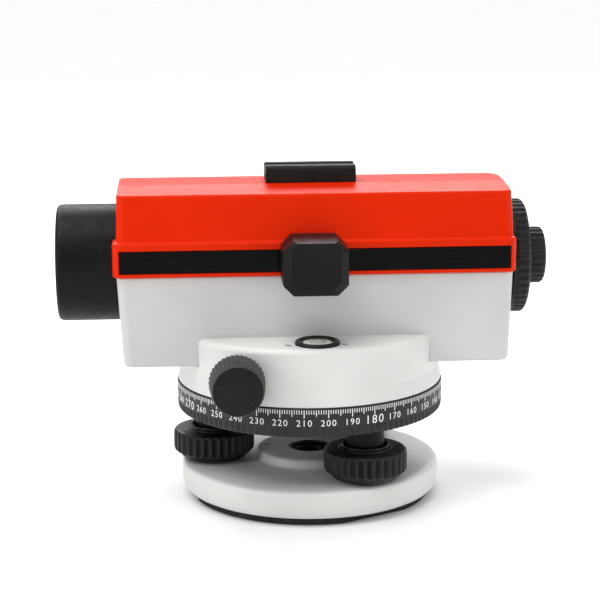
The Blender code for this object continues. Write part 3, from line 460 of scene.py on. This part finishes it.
RED = (0.69, 0.019, 0.0016)
WHITE = (0.69, 0.69, 0.672)
# the casing's white is the same enamel as WHITE made darker: painted shade on the casing's front
# faces
SHADED_CASE_WHITE = (0.585, 0.585, 0.576)
finishes = {
    # the red's lighter red edge colour is a painted edge highlight as well as wear
    "red": painted("red_enamel_coat", RED, (0.88, 0.16, 0.08), 0.36, 0.40, 0.10, spec=0.14,
                   tint=(1.0, 0.62, 0.35)),
    "white": painted("white_enamel_coat", WHITE, (0.50, 0.49, 0.47), 0.40, 0.34, 0.22,
                     speck=(0.60, 0.595, 0.57)),
    # the casing's finish is the white enamel darkened all over with painted shade, its specks and
    # edges too
    "shaded_casing": painted("casing_enamel_painted_shade", SHADED_CASE_WHITE, (0.48, 0.47, 0.45), 0.42, 0.34, 0.22,
                    speck=(0.52, 0.515, 0.50)),
    "black": moulded("black_moulding", (0.0085, 0.0085, 0.009), (0.075, 0.075, 0.075), 0.42,
                     spec=0.26),
    "black_smooth": moulded("black_smooth_face", (0.009, 0.0095, 0.010), (0.04, 0.04, 0.04), 0.50,
                            0.30, 0.20, spec=0.14),
    "hood": moulded("black_hood_coat", (0.003, 0.003, 0.0034), (0.06, 0.06, 0.06), 0.46, 0.28,
                    0.25, spec=0.16, wear=0.35),
    "prism": moulded("black_prism_hood", (0.006, 0.0062, 0.0065), (0.09, 0.09, 0.09), 0.42,
                     spec=0.14),
    "sight": moulded("black_sight_rail", (0.010, 0.0098, 0.0095), (0.05, 0.05, 0.05), 0.46, 0.5,
                     0.3, spec=0.14, wear=0.2),
    "grip": moulded("grey_worn_grip", (0.050, 0.050, 0.047), (0.16, 0.16, 0.15), 0.60, 0.8, 0.9),
    "anodised": moulded("black_anodised_metal", (0.018, 0.018, 0.019), (0.12, 0.12, 0.12), 0.42,
                        0.22, 0.3, spec=0.3, wear=0.4),
    "matt": moulded("matt_black_inside", (0.008, 0.008, 0.008), (0.02, 0.02, 0.02), 0.80),
    "strip": gloss("strip_black_gloss", (0.0015, 0.0015, 0.0018)),
    "rubber": moulded("black_rubber_sole", (0.014, 0.014, 0.015), (0.05, 0.05, 0.05), 0.78, 0.5,
                      0.6),
    "steel": metal("machined_steel", (0.56, 0.56, 0.57), 0.30),
    "brass": metal("machined_brass", (0.66, 0.47, 0.18), 0.32, dirt=(0.12, 0.08, 0.03)),
    "aluminium": metal("machined_aluminium", (0.70, 0.70, 0.72), 0.38),
    "glass": glassy("clear_glass", (0.96, 0.99, 0.98)),
    "lens": glassy("coated_lens_glass", (0.92, 0.98, 0.96), coat=(0.80, 0.74, 0.96)),
    "paint_white": painted("white_scale_paint", (0.86, 0.86, 0.84), (0.5, 0.5, 0.5), 0.5, 0.2,
                           0.2),
    "vial": painted("domed_vial", (0.66, 0.70, 0.62), (0.6, 0.64, 0.56), 0.10, 3.0, 0.02),
    "vial_air": painted("vial_bubble_rim", (0.30, 0.34, 0.27), (0.3, 0.3, 0.3), 0.12, 3.0, 0.02),
    "paint_black": moulded("black_line_paint", (0.01, 0.01, 0.01), (0.03, 0.03, 0.03), 0.4),
}


def piece(mesh, finish, body, slot, *replaced, sharp=38.0, flat=False):
    """Show a mesh as a piece that rides on a CAD body and may stand for CAD nodes."""
    obj = add_object(mesh.name, mesh)
    mesh.materials.clear()
    mesh.materials.append(finishes[finish])
    mesh.shade_smooth()
    mesh.set_sharp_from_angle(angle=math.radians(sharp))
    if flat:
        normals = obj.modifiers.new("flat_faces", "WEIGHTED_NORMAL")
        normals.keep_sharp = True
        normals.weight = 100
    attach(obj, body)
    if replaced:
        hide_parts(*replaced)


# ---------------------------------------------------------------- base and foot screws

SOLE_R = 51.0
SOLE_FLAT = 48.5                  # from the axis to the sole's flats, under the foot screws
SOLE_STEPS = 216
PEG_AT = (-18.4, 3.2, 0)


def foot_place(index):
    angle = math.radians(FOOT_ANGLES[index])
    return FOOT_R * math.cos(angle), FOOT_R * math.sin(angle), 0


def make_base():
    profile = [(9.3, 19.0), (21.4, 19.0), (22.5, 18.4), (23.3, 15.0), (52.6, 15.0)]
    profile += [(54.3, 14.5), (54.9, 13.2), (55.0, 9.0), (54.6, 5.2), (53.2, 3.3), (48.0, 3.3)]
    profile += [(48.0, 8.5), (13.5, 8.5), (13.5, 3.3), (9.3, 3.3), (9.3, 19.0)]
    casting = turned("base_casting", loop(profile, 1.1, 3), steps=160)
    cutters = []
    for index in range(3):
        at = foot_place(index)
        cutters.append(rod("pocket", 6.3, 11.1, 20.0, at=at, steps=48))
        cutters.append(rod("pocket_edge", 6.3, 14.4, 15.2, at=at, steps=48, top_radius=7.2))
    cutters.append(rod("peg_hole", 1.7, 14.0, 20.0, at=PEG_AT, steps=24))
    cutters.append(rod("peg_edge", 1.7, 18.6, 19.2, at=PEG_AT, steps=24, top_radius=2.3))
    piece(carve(casting, *cutters), "white", "base", "white_enamel", "base_plate")

    ends = [(8.0, 3.5)], [(8.0, 18.6), (9.25, 18.6), (9.25, 3.5)]
    thread = threaded(
        "tripod_thread", radius=7.9, low=3.9, high=18.2, pitch=2.31, depth=0.75, ends=ends,
        inner=True)
    piece(thread, "anodised", "base", "black_metal")

    angle = around(SOLE_STEPS)
    reach = np.full(SOLE_STEPS, SOLE_R)
    for flat in FOOT_ANGLES:
        away = np.cos(angle - math.radians(flat))
        reach = np.minimum(
            reach, np.where(away > 0.5, SOLE_FLAT / np.maximum(away, 0.5), SOLE_R))
    rings = []
    for inset, height, bore in ((0.7, 0.0, 0), (0.0, 0.6, 0), (0.0, 2.6, 0), (0.5, 3.0, 0),
                                (0, 3.0, 14.0), (0, 0.4, 14.0), (0, 0.0, 14.4)):
        rings.append(circle_points(bore if bore else reach - inset, angle, height))
    piece(skin("base_sole", rings, closed=True), "rubber", "base", "rubber", "base_pad")


def make_feet():
    knob = [
        (4.4, 26.8, 0), (8.7, 26.8, 0), (8.9, 27.2, 0), (8.9, 29.9, 0), (9.4, 30.0, 0),
        (9.7, 29.9, 0), (9.8, 29.2, 0), (10.9, 29.1, 0), (11.1, 28.4, 0), (15.2, 28.35, 0),
        (16.5, 28.0, 0), (17.05, 27.3, 0.6), (17.2, 26.4, 1.3), (17.2, 20.2, 1.3),
        (17.0, 19.4, 1.1), (16.4, 18.8, 0.5), (15.6, 18.5, 0), (15.0, 18.2, 0),
        (14.6, 17.4, 0), (13.6, 16.1, 0),
        (4.4, 16.1, 0), (4.4, 26.8, 0)]
    for index in range(3):
        number = index + 1
        at = foot_place(index)
        screw = f"foot_screw_{number}"
        grip = turned(
            f"foot_grip_{number}", loop(knob, 0.5), steps=420, ribs=30, power=1.7, at=at)
        piece(grip, "black", screw, "black_plastic", f"foot_knob_{number}")
        ball = [(3.0 * math.sin(t), 15.5 - 3.0 * math.cos(t)) for t in np.linspace(0.05, 2.4, 12)]
        ends = ball + [(2.1, 18.4), (4.0, 19.4), (4.0, 30.0)], [(4.0, 44.2), (3.2, 45.0)]
        thread = threaded(
            f"foot_thread_{number}", radius=4.0, low=30.2, high=44.0, pitch=0.75, depth=0.4,
            ends=ends, at=at)
        piece(thread, "steel", screw, "steel", f"foot_screw_{number}")
        if number == 1:
            ridges = []
            for step in range(6):
                low = 30.2 + step * 1.5
                ridges += [(7.0, low), (7.7, low + 0.35), (7.7, low + 0.95), (7.0, low + 1.3)]
            outer = [(7.0, 29.6)] + ridges + [(7.7, 39.8), (7.7, 45.4)]
        else:
            outer = [(7.2, 29.6), (7.7, 30.1), (7.7, 38.9), (7.5, 39.2), (7.7, 39.5), (7.7, 45.4)]
        sleeve = outer + [(7.4, 45.6), (5.2, 45.6), (5.2, 29.6), outer[0]]
        piece(turned(f"foot_sleeve_{number}", loop(sleeve, 0.25), steps=64, at=at),
              "black_smooth", "tribrach", "black_metal", f"foot_bush_{number}")


# ---------------------------------------------------------------- circle

CIRCLE_R = 56.4
ZERO_ANGLE = 113.8                # direction of the zero mark, in degrees from +X
TICK_TOP = 50.1
TICK_LENGTHS = (1.7, 2.6, 3.3)    # of the marks at one, five and ten degrees
TICK_RELIEF = 0.05                # the marks stand this far out of the rim and reach as far in
FIGURE_Z = 44.55
FIGURE_SIZES = (3.75, 5.0)        # the larger is for each quarter of the circle
TICK_FACES = ((0, 1, 3, 2), (4, 6, 7, 5), (0, 4, 5, 1), (2, 3, 7, 6), (0, 2, 6, 4), (1, 5, 7, 3))


def circle_direction(degrees):
    """The figures run clockwise from above, so a mark's direction falls as its figure grows."""
    return math.radians(ZERO_ANGLE - degrees)


def make_circle():
    profile = [
        (19.2, 49.9, 0), (53.0, 49.9, 0), (53.8, 50.6, 0), (56.1, 50.6, 0), (56.4, 50.3, 0),
        (56.4, 42.75, 0), (56.4, 42.5, 0.35), (56.4, 42.1, 0.65), (56.3, 39.4, 0.65),
        (55.9, 38.7, 0.4), (55.3, 38.5, 0), (53.6, 38.5, 0), (53.6, 46.9, 0), (19.2, 46.9, 0),
        (19.2, 49.9, 0)]
    rim = turned("graduated_circle", loop(profile, 0.3), steps=1200, ribs=120, power=1.2)
    piece(rim, "anodised", "circle", "black_metal", "circle_ring")

    verts, faces = [], []
    for degree in range(360):
        length = TICK_LENGTHS[(degree % 5 == 0) + (degree % 10 == 0)]
        half = (0.15 if degree % 5 else 0.18) / CIRCLE_R
        middle = circle_direction(degree)
        start = len(verts)
        for radius in (CIRCLE_R - TICK_RELIEF, CIRCLE_R + TICK_RELIEF):
            for height in (TICK_TOP, TICK_TOP - length):
                for side in (-half, half):
                    turn = middle + side
                    verts.append((radius * math.cos(turn), radius * math.sin(turn), height))
        faces += [tuple(start + i for i in face) for face in TICK_FACES]
    piece(outward(mesh_from("circle_ticks", verts, faces)), "paint_white", "circle",
          "white_enamel")

    meshes = []
    for figure in range(0, 360, 10):
        curve = bpy.data.curves.new("figure", "FONT")
        curve.body = str(figure)
        curve.size = FIGURE_SIZES[figure % 90 == 0]
        curve.align_x = "CENTER"
        curve.align_y = "CENTER"
        curve.extrude = 0.04
        curve.space_character = 1.22
        curve.resolution_u = 3
        holder = add_object("figure", curve)
        graph = bpy.context.evaluated_depsgraph_get()
        flat = bpy.data.meshes.new_from_object(holder.evaluated_get(graph))
        bpy.data.objects.remove(holder)
        middle = circle_direction(figure)
        for vertex in flat.vertices:
            across, up, out = vertex.co
            turn = middle + across / CIRCLE_R
            reach = CIRCLE_R + 0.02 + out
            vertex.co = (
                reach * math.cos(turn) * MM, reach * math.sin(turn) * MM, (FIGURE_Z + up) * MM)
        meshes.append(flat)
    piece(merge("circle_figures", meshes), "paint_white", "circle", "white_enamel", sharp=30.0)


def make_tribrach():
    profile = [
        (12.3, 46.3), (18.5, 46.3), (18.5, 45.2), (49.4, 45.2), (50.4, 44.2), (50.4, 40.4),
        (49.4, 39.4), (46.0, 39.4), (45.4, 40.2), (22.0, 40.2), (21.4, 39.4), (12.3, 39.4),
        (12.3, 46.3)]
    plate = turned("tribrach_body", loop(profile, 0.4), steps=128)
    cutters = [rod("bush_hole", 8.0, 38.0, 47.0, at=foot_place(i), steps=48) for i in range(3)]
    piece(carve(plate, *cutters), "anodised", "tribrach", "black_metal", "tribrach_plate")


# ---------------------------------------------------------------- rotating head

SQUARE_FROM = 54.0                # the drum is round up to this height
SQUARE_RISE = 14.0                # and has its full squareness this far above it
SQUARENESS = 0.42                 # what the top's superellipse has beyond a circle's power of 2


def square_up(drum):
    """Swell the drum's diagonals towards its top, so that the top is a rounded square."""
    for vertex in drum.vertices:
        x, y, z = vertex.co / MM
        share = min(max((z - SQUARE_FROM) / SQUARE_RISE, 0.0), 1.0)
        power = 2.0 + SQUARENESS * share * share * (3 - 2 * share)
        reach = math.hypot(x, y)
        if reach > 30.0:
            along = (abs(x / reach) ** power + abs(y / reach) ** power) ** (-1.0 / power)
            vertex.co.x *= along
            vertex.co.y *= along


def make_head():
    outside = [(0.0, 74.2), (51.7, 74.2), (53.2, 72.7), (54.7, 58.5), (56.1, 51.4)]
    outside = soft(outside, 1.5, 5) + [(55.9, 50.9)]
    inside = [(53.4, 50.9), (52.1, 58.5), (50.6, 70.6), (49.6, 71.6), (0.0, 71.6)]
    drum = turned("head_drum", outside + inside, steps=192, closed=False)
    square_up(drum)
    cutters = [
        box_mesh("slot", (-80, -29.5, 62.15), (80, 29.5, 90)),
        rod("bubble_hole", 9.0, 60, 80, at=BUBBLE_AT, steps=72),
        rod("bubble_edge", 9.0, 73.8, 74.4, at=BUBBLE_AT, steps=72, top_radius=9.7),
        rod("tangent_hole", 6.8, -60, 60, axis="Y", at=WORM_AT)]
    for at in BUBBLE_SCREWS:
        cutters.append(rod("screw_hole", 1.9, 60, 80, at=at, steps=32))
        cutters.append(rod("screw_edge", 1.9, 73.9, 74.3, at=at, steps=32, top_radius=2.4))
    drum = bevelled(carve(drum, *cutters), 0.22, degrees=55.0, segments=2)
    piece(drum, "white", "head", "white_enamel", "head_casing", flat=True)

    boss = [(2.5, 33.0), (6.5, 33.0), (6.5, 50.9), (6.2, 51.6), (2.5, 51.6), (2.5, 33.0)]
    grip = [
        (2.5, 65.7, 0), (2.5, 51.9, 0), (9.6, 51.9, 0), (10.9, 52.4, 0.1), (11.4, 53.4, 0.4),
        (11.3, 55.4, 0.45), (10.7, 66.6, 0.4), (10.5, 67.8, 0.15), (10.15, 68.3, 0),
        (9.9, 68.4, 0), (9.6, 68.2, 0), (0.0, 68.1, 0)]
    face = [(0.0, 68.0), (9.9, 68.0), (10.15, 68.25), (9.8, 68.4), (0.0, 68.35)]
    for name, axis in (("near", "-Y"), ("far", "Y")):
        place = {"axis": axis, "at": WORM_AT}
        piece(turned(f"tangent_boss_{name}", loop(boss, 0.4, 3), steps=64, **place),
              "white", "head", "white_enamel", f"tangent_bush_{name}")
        knob = turned(
            f"tangent_grip_{name}", [(0.0, 65.7, 0)] + soft(grip, 0.35, 2), steps=360, ribs=36,
            power=1.3, closed=False, **place)
        piece(knob, "grip", "tangent_drive", "black_plastic", f"tangent_knob_{name}")
        piece(turned(f"tangent_face_{name}", face, closed=False, **place),
              "black_smooth", "tangent_drive", "black_plastic")


def make_bubble():
    ring = [
        (0.0, 67.6), (6.9, 67.6), (6.9, 74.7), (7.2, 75.3), (7.9, 75.6), (8.6, 75.5), (9.1, 74.9),
        (9.1, 74.5), (8.7, 74.5), (8.7, 66.0), (0.0, 66.0)]
    piece(turned("bubble_bezel", soft(ring, 0.3, 3), at=BUBBLE_AT, closed=False),
          "black", "head", "black_metal", "bubble_housing")

    def dome(radius):
        """Height of the vial's glass above a point that far from its middle."""
        return 75.25 - radius * radius / 64.0

    edge, floor = 6.8, 67.9
    vial = [(edge * step / 10, dome(edge * step / 10)) for step in range(11)]
    vial += [(edge, floor), (0.0, floor)]
    piece(turned("bubble_dome", vial, steps=72, at=BUBBLE_AT, closed=False),
          "vial", "head", "glass", "bubble_vial")
    for name, radius, width in (("circle", 3.2, 0.28), ("edge", 5.9, 0.5)):
        top, low = dome(radius) + 0.03, dome(radius) - 0.2
        line = [(radius, low), (radius + width, low), (radius + width, top), (radius, top)]
        piece(turned(f"bubble_{name}_line", line + line[:1], steps=72, at=BUBBLE_AT),
              "paint_black", "head", "black_plastic")
    air_at = (BUBBLE_AT[0] + 0.5, BUBBLE_AT[1] + 0.3, 0)
    rim = [(1.9, dome(1.9) + 0.04), (2.2, dome(2.2) + 0.07), (2.4, dome(2.4) + 0.04),
           (2.2, dome(2.2) - 0.1), (1.9, dome(1.9) + 0.04)]
    piece(turned("bubble_air", rim, steps=48, at=air_at), "vial_air", "head", "glass")
    for place, name in zip(BUBBLE_SCREWS, ("left", "right")):
        screw = rod(f"bubble_adjuster_{name}", 1.6, 68.0, 73.5, at=place, steps=32)
        socket = rod("socket", 0.85, 72.2, 74.6, at=place, steps=6)
        screw = bevelled(carve(screw, socket), 0.18, degrees=50.0, segments=2)
        piece(screw, "steel", "head", "steel", f"bubble_screw_{name}")


def make_prism_hood():
    x0, x1, y0, y1, z0, z1 = -13.8, 12.4, -54.6, -32.8, 95.6, 117.9
    corner, slope = 4.2, 3.2

    def octagon(y, inset):
        """The hood's outline drawn in by an inset, which its top takes hardly any part in."""
        a, b, c, d = x0 + inset, x1 - inset, z0 + inset, z1 - 0.15 * inset
        k = corner - 0.4 * inset
        return [(a + k, y, c), (b - k, y, c), (b, y, c + k), (b, y, d - k), (b - k, y, d),
                (a + k, y, d), (a, y, d - k), (a, y, c + k)]

    hood = skin("prism_hood", [octagon(y0, slope), octagon(y0 + slope, 0), octagon(y1, 0)])
    hood = bevelled(hood, 0.40, degrees=12.0)
    well = box_mesh("well", (x0 + 4.2, y0 + 5.5, z0 - 5), (x1 - 2.2, y1 - 2.2, z1 - 4.5))
    window = box_mesh("window", (x1 - 6, y0 + 5.5, z0 + 5), (x1 + 5, y1 - 2.2, z1 - 5))
    piece(carve(hood, well, window), "prism", "head", "black_plastic", "prism_housing", flat=True)


# ---------------------------------------------------------------- telescope casing

def shell(name, outside, inside):
    """A box open on one side, from outlines that run up its outside and back down its inside."""
    return skin(name, [outline(*measures) for measures in outside + inside])


def tube_holes():
    """The space of the objective's and the eyepiece's tubes, to be cut out of the box's ends."""
    return [
        rod("objective_hole", 20.6, -95, -60, steps=96, **OPTIC),
        rod("eyepiece_hole", 16.3, 60, 95, steps=96, **OPTIC)]


def make_casing():
    outside = [
        (-76.0, 79.0, 27.0, 62.1, 2.5), (-77.7, 80.5, 28.6, 62.2, 3.6),
        (-78.3, 81.1, 29.2, 63.2, 4.0), (-80.4, 82.3, 30.4, 99.6, 4.0),
        (-80.1, 82.0, 30.1, 100.0, 3.8)]
    inside = [
        (-77.4, 78.8, 28.0, 100.0, 2.2), (-75.4, 77.4, 26.8, 64.5, 2.0)]
    body = shell("lower_body", soft(outside, 0.7, 4), inside)
    cutters = tube_holes()
    cutters.append(rod("axis_hole", 20.0, 55, 75, steps=96))
    cutters.append(rod("focus_hole", 4.8, 20, 40, axis="Y", at=FOCUS_AT, steps=48))
    cutters += [rod("screw_well", 3.4, 60.0, 63.0, at=at, steps=40) for at in CASING_SCREWS]
    # the casing takes the darkened white enamel: painted shade
    piece(carve(body, *cutters), "shaded_casing", "head", "white_enamel", "lower_casing", flat=True)
    dome = [(0.0, 62.2), (1.6, 62.3), (2.7, 62.7), (2.9, 63.3), (0.0, 63.3)]
    for number, at in enumerate(CASING_SCREWS, start=1):
        head = turned(f"casing_screw_{number}", dome, steps=40, at=at, closed=False)
        slots = [
            box_mesh("slot", (at[0] - a, at[1] - b, 61.0), (at[0] + a, at[1] + b, 62.7))
            for a, b in ((1.6, 0.3), (0.3, 1.6))]
        piece(carve(head, *slots), "steel", "head", "steel")


def make_cover():
    outside = [
        (-79.0, 80.6, 8.6, 134.7, 3.0), (-79.4, 81.2, 9.0, 134.68, 3.0),
        (-79.8, 81.6, 25.4, 132.9, 3.4), (-79.9, 81.8, 26.0, 132.2, 3.6),
        (-80.3, 82.3, 30.4, 114.5, 3.6), (-81.4, 82.7, 31.8, 114.3, 3.8),
        (-81.9, 83.2, 32.3, 113.7, 4.0), (-81.9, 83.2, 32.3, 100.6, 4.0),
        (-81.7, 83.0, 32.1, 100.3, 4.0)]
    inside = [
        (-79.7, 81.0, 30.1, 100.3, 2.4), (-79.7, 81.0, 30.1, 112.1, 2.4),
        (-77.5, 78.8, 28.2, 112.5, 2.0), (-77.0, 78.2, 23.8, 130.5, 2.0),
        (-76.8, 78.0, 8.6, 132.5, 2.0)]
    body = shell("cover_body", soft(outside, 0.5, 4), inside)
    cutters = tube_holes()
    for side in (-1, 1):
        near, far = sorted((side * 31.3, side * 35.3))
        recess = box_mesh("recess", (-79.3, near, 101.7), (80.7, far, 111.3))
        cutters.append(bevelled(recess, 0.3, segments=2))
    piece(carve(body, *cutters), "red", "head", "red_enamel", "top_cover", flat=True)
    for side, name in ((-1, "near"), (1, "far")):
        near, far = sorted((side * 31.6, side * 32.1))
        strip = box_mesh(f"gloss_strip_{name}", (-79.0, near, 102.0), (80.4, far, 111.0))
        piece(bevelled(strip, 0.16, segments=2), "strip", "head", "strip_black",
              f"side_strip_{name}", flat=True)


def make_sight():
    foot_top = 137.0              # only what is above this is drawn in at the bar's ends
    half = [(8.2, 135.0), (8.2, 140.4), (6.9, 141.7), (2.8, 141.7), (0.0, 138.8)]
    half = half[:1] + soft(half[:4], 1.0, 4)[1:] + half[4:]
    left = [(-y, z) for y, z in reversed(half[:-1])]
    section = half + left
    rings = []
    for x, inset in ((-18.4, 0.5), (-18.25, 0.15), (-17.9, 0.0), (18.7, 0.0), (19.05, 0.15),
                     (19.2, 0.5)):
        rings.append([
            (x, y - math.copysign(min(inset, abs(y)), y), z - (inset if z > foot_top else 0))
            for y, z in section])
    bar = skin("sight_rail", rings)
    mouth = box_mesh("mouth", (-22, -6.0, 136.4), (-16.0, 6.0, 138.2))
    piece(carve(bar, mouth), "sight", "head", "black_plastic", "sight_bar", flat=True)
    pane = box_mesh("sight_pane", (-17.4, -5.9, 136.45), (-16.6, 5.9, 138.15))
    piece(pane, "glass", "head", "glass")


# ---------------------------------------------------------------- optics

def lens_mesh(name, radius, rim, bulge, x):
    """A lens that is rim thick at its edge and bulges as much on each side."""
    count = 10
    front = []
    for step in range(count + 1):
        r = radius * step / count
        front.append((r, rim / 2 + bulge * (1 - (r / radius) ** 2)))
    back = [(r, -h) for r, h in reversed(front)]
    return turned(name, front + back, steps=72, axis="X", at=(x, 0, OPTIC_Z), closed=False)


def make_objective():
    hood = [(18.8, -70.0), (20.3, -70.0), (20.3, -79.2), (24.2, -79.2), (24.4, -79.6),
            (24.4, -102.6), (24.1, -104.4), (23.0, -105.3), (22.2, -105.3),
            (21.6, -104.8)]
    steps = []
    for n in range(6):
        start = -104.0 + n * 2.0
        steps += [(21.5, start), (21.5, start + 1.2), (22.1, start + 1.35), (22.1, start + 1.85)]
    hood += steps + [(21.5, -92.0), (18.8, -92.0), (18.8, -70.0)]
    hood = turned("sun_hood", loop(hood, 0.5, 3), steps=144, **OPTIC)
    room = [box_mesh("band", (-82.05, y, 100.1), (-78.0, y + 12.0, 114.5)) for y in (-33.0, 21.0)]
    piece(carve(hood, *room), "hood", "head", "black_metal", "objective_hood")
    cell = [(15.2, -62.0), (18.5, -62.0), (18.5, -90.0), (17.9, -90.2), (16.7, -90.0),
            (16.7, -74.6), (15.2, -74.6), (15.2, -62.0)]
    piece(turned("objective_barrel", loop(cell, 0.3), **OPTIC), "anodised", "head",
          "black_metal", "objective_cell")
    ring = [(15.0, -85.6), (16.4, -85.6), (16.4, -88.6), (15.6, -88.8), (15.0, -88.2),
            (15.0, -85.6)]
    ring = turned("lock_ring", loop(ring, 0.25), **OPTIC)
    notch = box_mesh("notch", (-90, -18, OPTIC_Z - 0.8), (-87.6, 18, OPTIC_Z + 0.8))
    piece(carve(ring, notch), "anodised", "head", "black_metal", "objective_retainer")
    front = lens_mesh("front_glass", radius=16.4, rim=3.2, bulge=1.2, x=-82.0)
    piece(front, "lens", "head", "glass", "objective_lens_front")
    rear = lens_mesh("rear_glass", radius=16.4, rim=1.0, bulge=0.8, x=-77.0)
    piece(rear, "lens", "head", "glass", "objective_lens_rear")


def make_focus_knob():
    place = {"axis": "Y", "at": FOCUS_AT}
    grip = [
        (1.8, 32.6, 0), (10.6, 32.6, 0), (11.8, 33.0, 0.1), (12.4, 34.0, 0.9),
        (12.3, 36.0, 0.9), (12.0, 44.6, 0.9), (11.6, 46.0, 0.4), (10.9, 46.8, 0), (10.0, 47.0, 0),
        (9.2, 46.9, 0), (8.8, 46.4, 0), (0.0, 46.3, 0)]
    bottom = [(0.0, 44.3, 0), (1.8, 44.3, 0)]
    knob = turned("focus_grip", bottom + soft(grip, 0.35, 2), steps=416, ribs=26, closed=False,
                  **place)
    piece(knob, "black", "focus_knob", "black_plastic", "focus_knob")
    collar = [(4.5, 31.0), (9.0, 31.0), (9.2, 31.4), (9.2, 32.3), (4.5, 32.3), (4.5, 31.0)]
    piece(turned("focus_collar", loop(collar, 0.2), steps=64, **place), "anodised",
          "head", "black_metal")


def make_eyepiece():
    ring = [
        (10.6, 90.5, 0), (13.4, 90.8, 0), (21.2, 91.0, 0), (22.8, 90.7, 0.0), (23.9, 89.8, 0.5),
        (24.1, 89.0, 0.7), (24.1, 86.2, 0.7), (24.0, 85.5, 0.5), (23.5, 84.95, 0.0),
        (23.5, 83.9, 0), (23.2, 83.5, 0), (16.0, 83.5, 0), (16.0, 70.0, 0), (10.6, 70.0, 0),
        (10.6, 90.5, 0)]
    cover = turned("eyepiece_bezel", loop(ring, 0.3), steps=528, ribs=44, power=1.5, **OPTIC)
    holes = []
    for degrees in (20, 200):
        across, up = 17.5 * math.cos(math.radians(degrees)), 17.5 * math.sin(math.radians(degrees))
        holes.append(rod("spanner_hole", 1.1, 88.8, 92.0, "X", (0, across, OPTIC_Z + up), 24))
    piece(carve(cover, *holes), "black", "head", "black_plastic", "eyepiece_cover")
    tube = [(7.0, 67.0), (9.0, 67.0), (9.0, 97.4), (8.6, 98.0), (7.6, 98.0), (7.0, 97.4),
            (7.0, 67.0)]
    piece(turned("eyepiece_barrel", loop(tube, 0.2), steps=72, **OPTIC), "anodised",
          "eyepiece", "black_metal", "eyepiece_tube")
    lens = lens_mesh("eye_glass", radius=6.7, rim=1.4, bulge=0.9, x=94.6)
    piece(lens, "lens", "eyepiece", "glass", "eye_lens")
    grip = [
        (9.3, 98.6, 0), (9.9, 99.4, 0), (10.6, 99.4, 0), (11.5, 98.9, 0.2), (11.95, 98.0, 0.55),
        (12.0, 97.0, 0.6), (12.0, 92.9, 0.6), (11.8, 91.9, 0.3), (11.4, 91.3, 0), (9.3, 91.3, 0),
        (9.3, 98.6, 0)]
    knob = turned("diopter_grip", loop(grip, 0.25), steps=384, ribs=24, power=1.5, **OPTIC)
    hole = rod("hole", 0.75, 10.2, 14.0, steps=20)
    hole.transform(Matrix.Translation((95.4 * MM, 0, OPTIC_Z * MM))
                   @ Matrix.Rotation(math.radians(140.0), 4, "X"))
    piece(carve(knob, hole), "black", "diopter_ring", "black_plastic", "diopter_ring")


# ---------------------------------------------------------------- scene

def finish_cad_nodes():
    """CAD nodes that stay, hidden inside or of the right shape, get the detailed finishes."""
    kept = {
        "steel": ("foot_shoe_1", "foot_shoe_2", "foot_shoe_3", "spring_plate", "axis_spindle",
                  "tangent_worm", "focus_pinion"),
        "brass": ("axis_bush", "friction_washer", "worm_wheel", "focus_slide", "focus_bush",
                  "reticle_cell"),
        "matt": ("main_tube",),
        "glass": ("bubble_prism", "focus_lens", "fixed_prism_front", "fixed_prism_rear",
                  "pendulum_prism", "reticle_glass"),
        "aluminium": ("compensator_frame", "pendulum_frame")}
    for finish, names in kept.items():
        for name in names:
            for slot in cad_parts[name].material_slots:
                slot.material = finishes[finish]


FLOOR_REACH = 12.0                # lengths and places from here on are in metres
WORLD_STRENGTH = 0.46
SUN_STRENGTH = 2.15
SUN_DEGREES = 50.0
SUN_WAY = (0.32, 0.14, -1.0)
SOFTBOXES = (                     # name, place, target, width and height, watts
    ("left_softbox", (-1.3, -0.8, 0.7), (0, 0, 0.08), (0.35, 0.5), 4.4),
    ("right_softbox", (1.2, -0.5, 0.6), (0, 0, 0.09), (0.4, 0.9), 4.0),
    ("back_softbox", (0.0, 1.25, 0.95), (0, 0, 0.13), (1.8, 0.5), 17.0))
LENS = 112.087
SENSOR = 36.0
CAMERA_AT = (-0.05413, -0.77447, 0.25069)
CAMERA_DEGREES = (77.8186, 0.2691, -3.7701)


def facing(way):
    return Vector(way).to_track_quat("-Z", "Y").to_euler()


def make_floor():
    mesh = bpy.data.meshes.new("floor")
    corners = [(-1, -1), (1, -1), (1, 1), (-1, 1)]
    mesh.from_pydata([(x * FLOOR_REACH, y * FLOOR_REACH, 0) for x, y in corners], [],
                     [(0, 1, 2, 3)])
    pale = Finish("pale_floor")
    tone = pale.spread(pale.noise(60.0, 3.0), 0.3, 0.7, 0.0, 1.0)
    pale.put("Base Color", pale.mix(tone, (0.90, 0.90, 0.90), (0.92, 0.92, 0.92)))
    pale.put("Roughness", 0.85)
    mesh.materials.append(pale.material)
    floor = add_object("floor", mesh)


def make_lights():
    world = bpy.data.worlds.new("studio")
    world.use_nodes = True
    world.node_tree.nodes["Background"].inputs["Color"].default_value = (1.0, 1.0, 1.0, 1.0)
    world.node_tree.nodes["Background"].inputs["Strength"].default_value = WORLD_STRENGTH
    SCENE.world = world
    for name, at, target, size, power in SOFTBOXES:
        data = bpy.data.lights.new(name, "AREA")
        data.shape = "RECTANGLE"
        data.size, data.size_y = size
        data.energy = power
        lamp = add_object(name, data)
        lamp.location = at
        lamp.rotation_euler = facing(Vector(target) - Vector(at))
    data = bpy.data.lights.new("overhead", "SUN")
    data.energy = SUN_STRENGTH
    data.angle = math.radians(SUN_DEGREES)
    add_object("overhead", data).rotation_euler = facing(SUN_WAY)


def make_camera():
    data = bpy.data.cameras.new("camera")
    data.lens = LENS
    data.sensor_width = SENSOR
    data.clip_end = 60.0
    camera = add_object("camera", data)
    camera.location = CAMERA_AT
    camera.rotation_euler = tuple(math.radians(a) for a in CAMERA_DEGREES)
    SCENE.camera = camera
    SCENE.view_settings.view_transform = "Standard"


make_base()
make_feet()
make_circle()
make_tribrach()
make_head()
make_bubble()
make_prism_hood()
make_casing()
make_cover()
make_sight()
make_objective()
make_focus_knob()
make_eyepiece()
finish_cad_nodes()
make_floor()
make_lights()
make_camera()
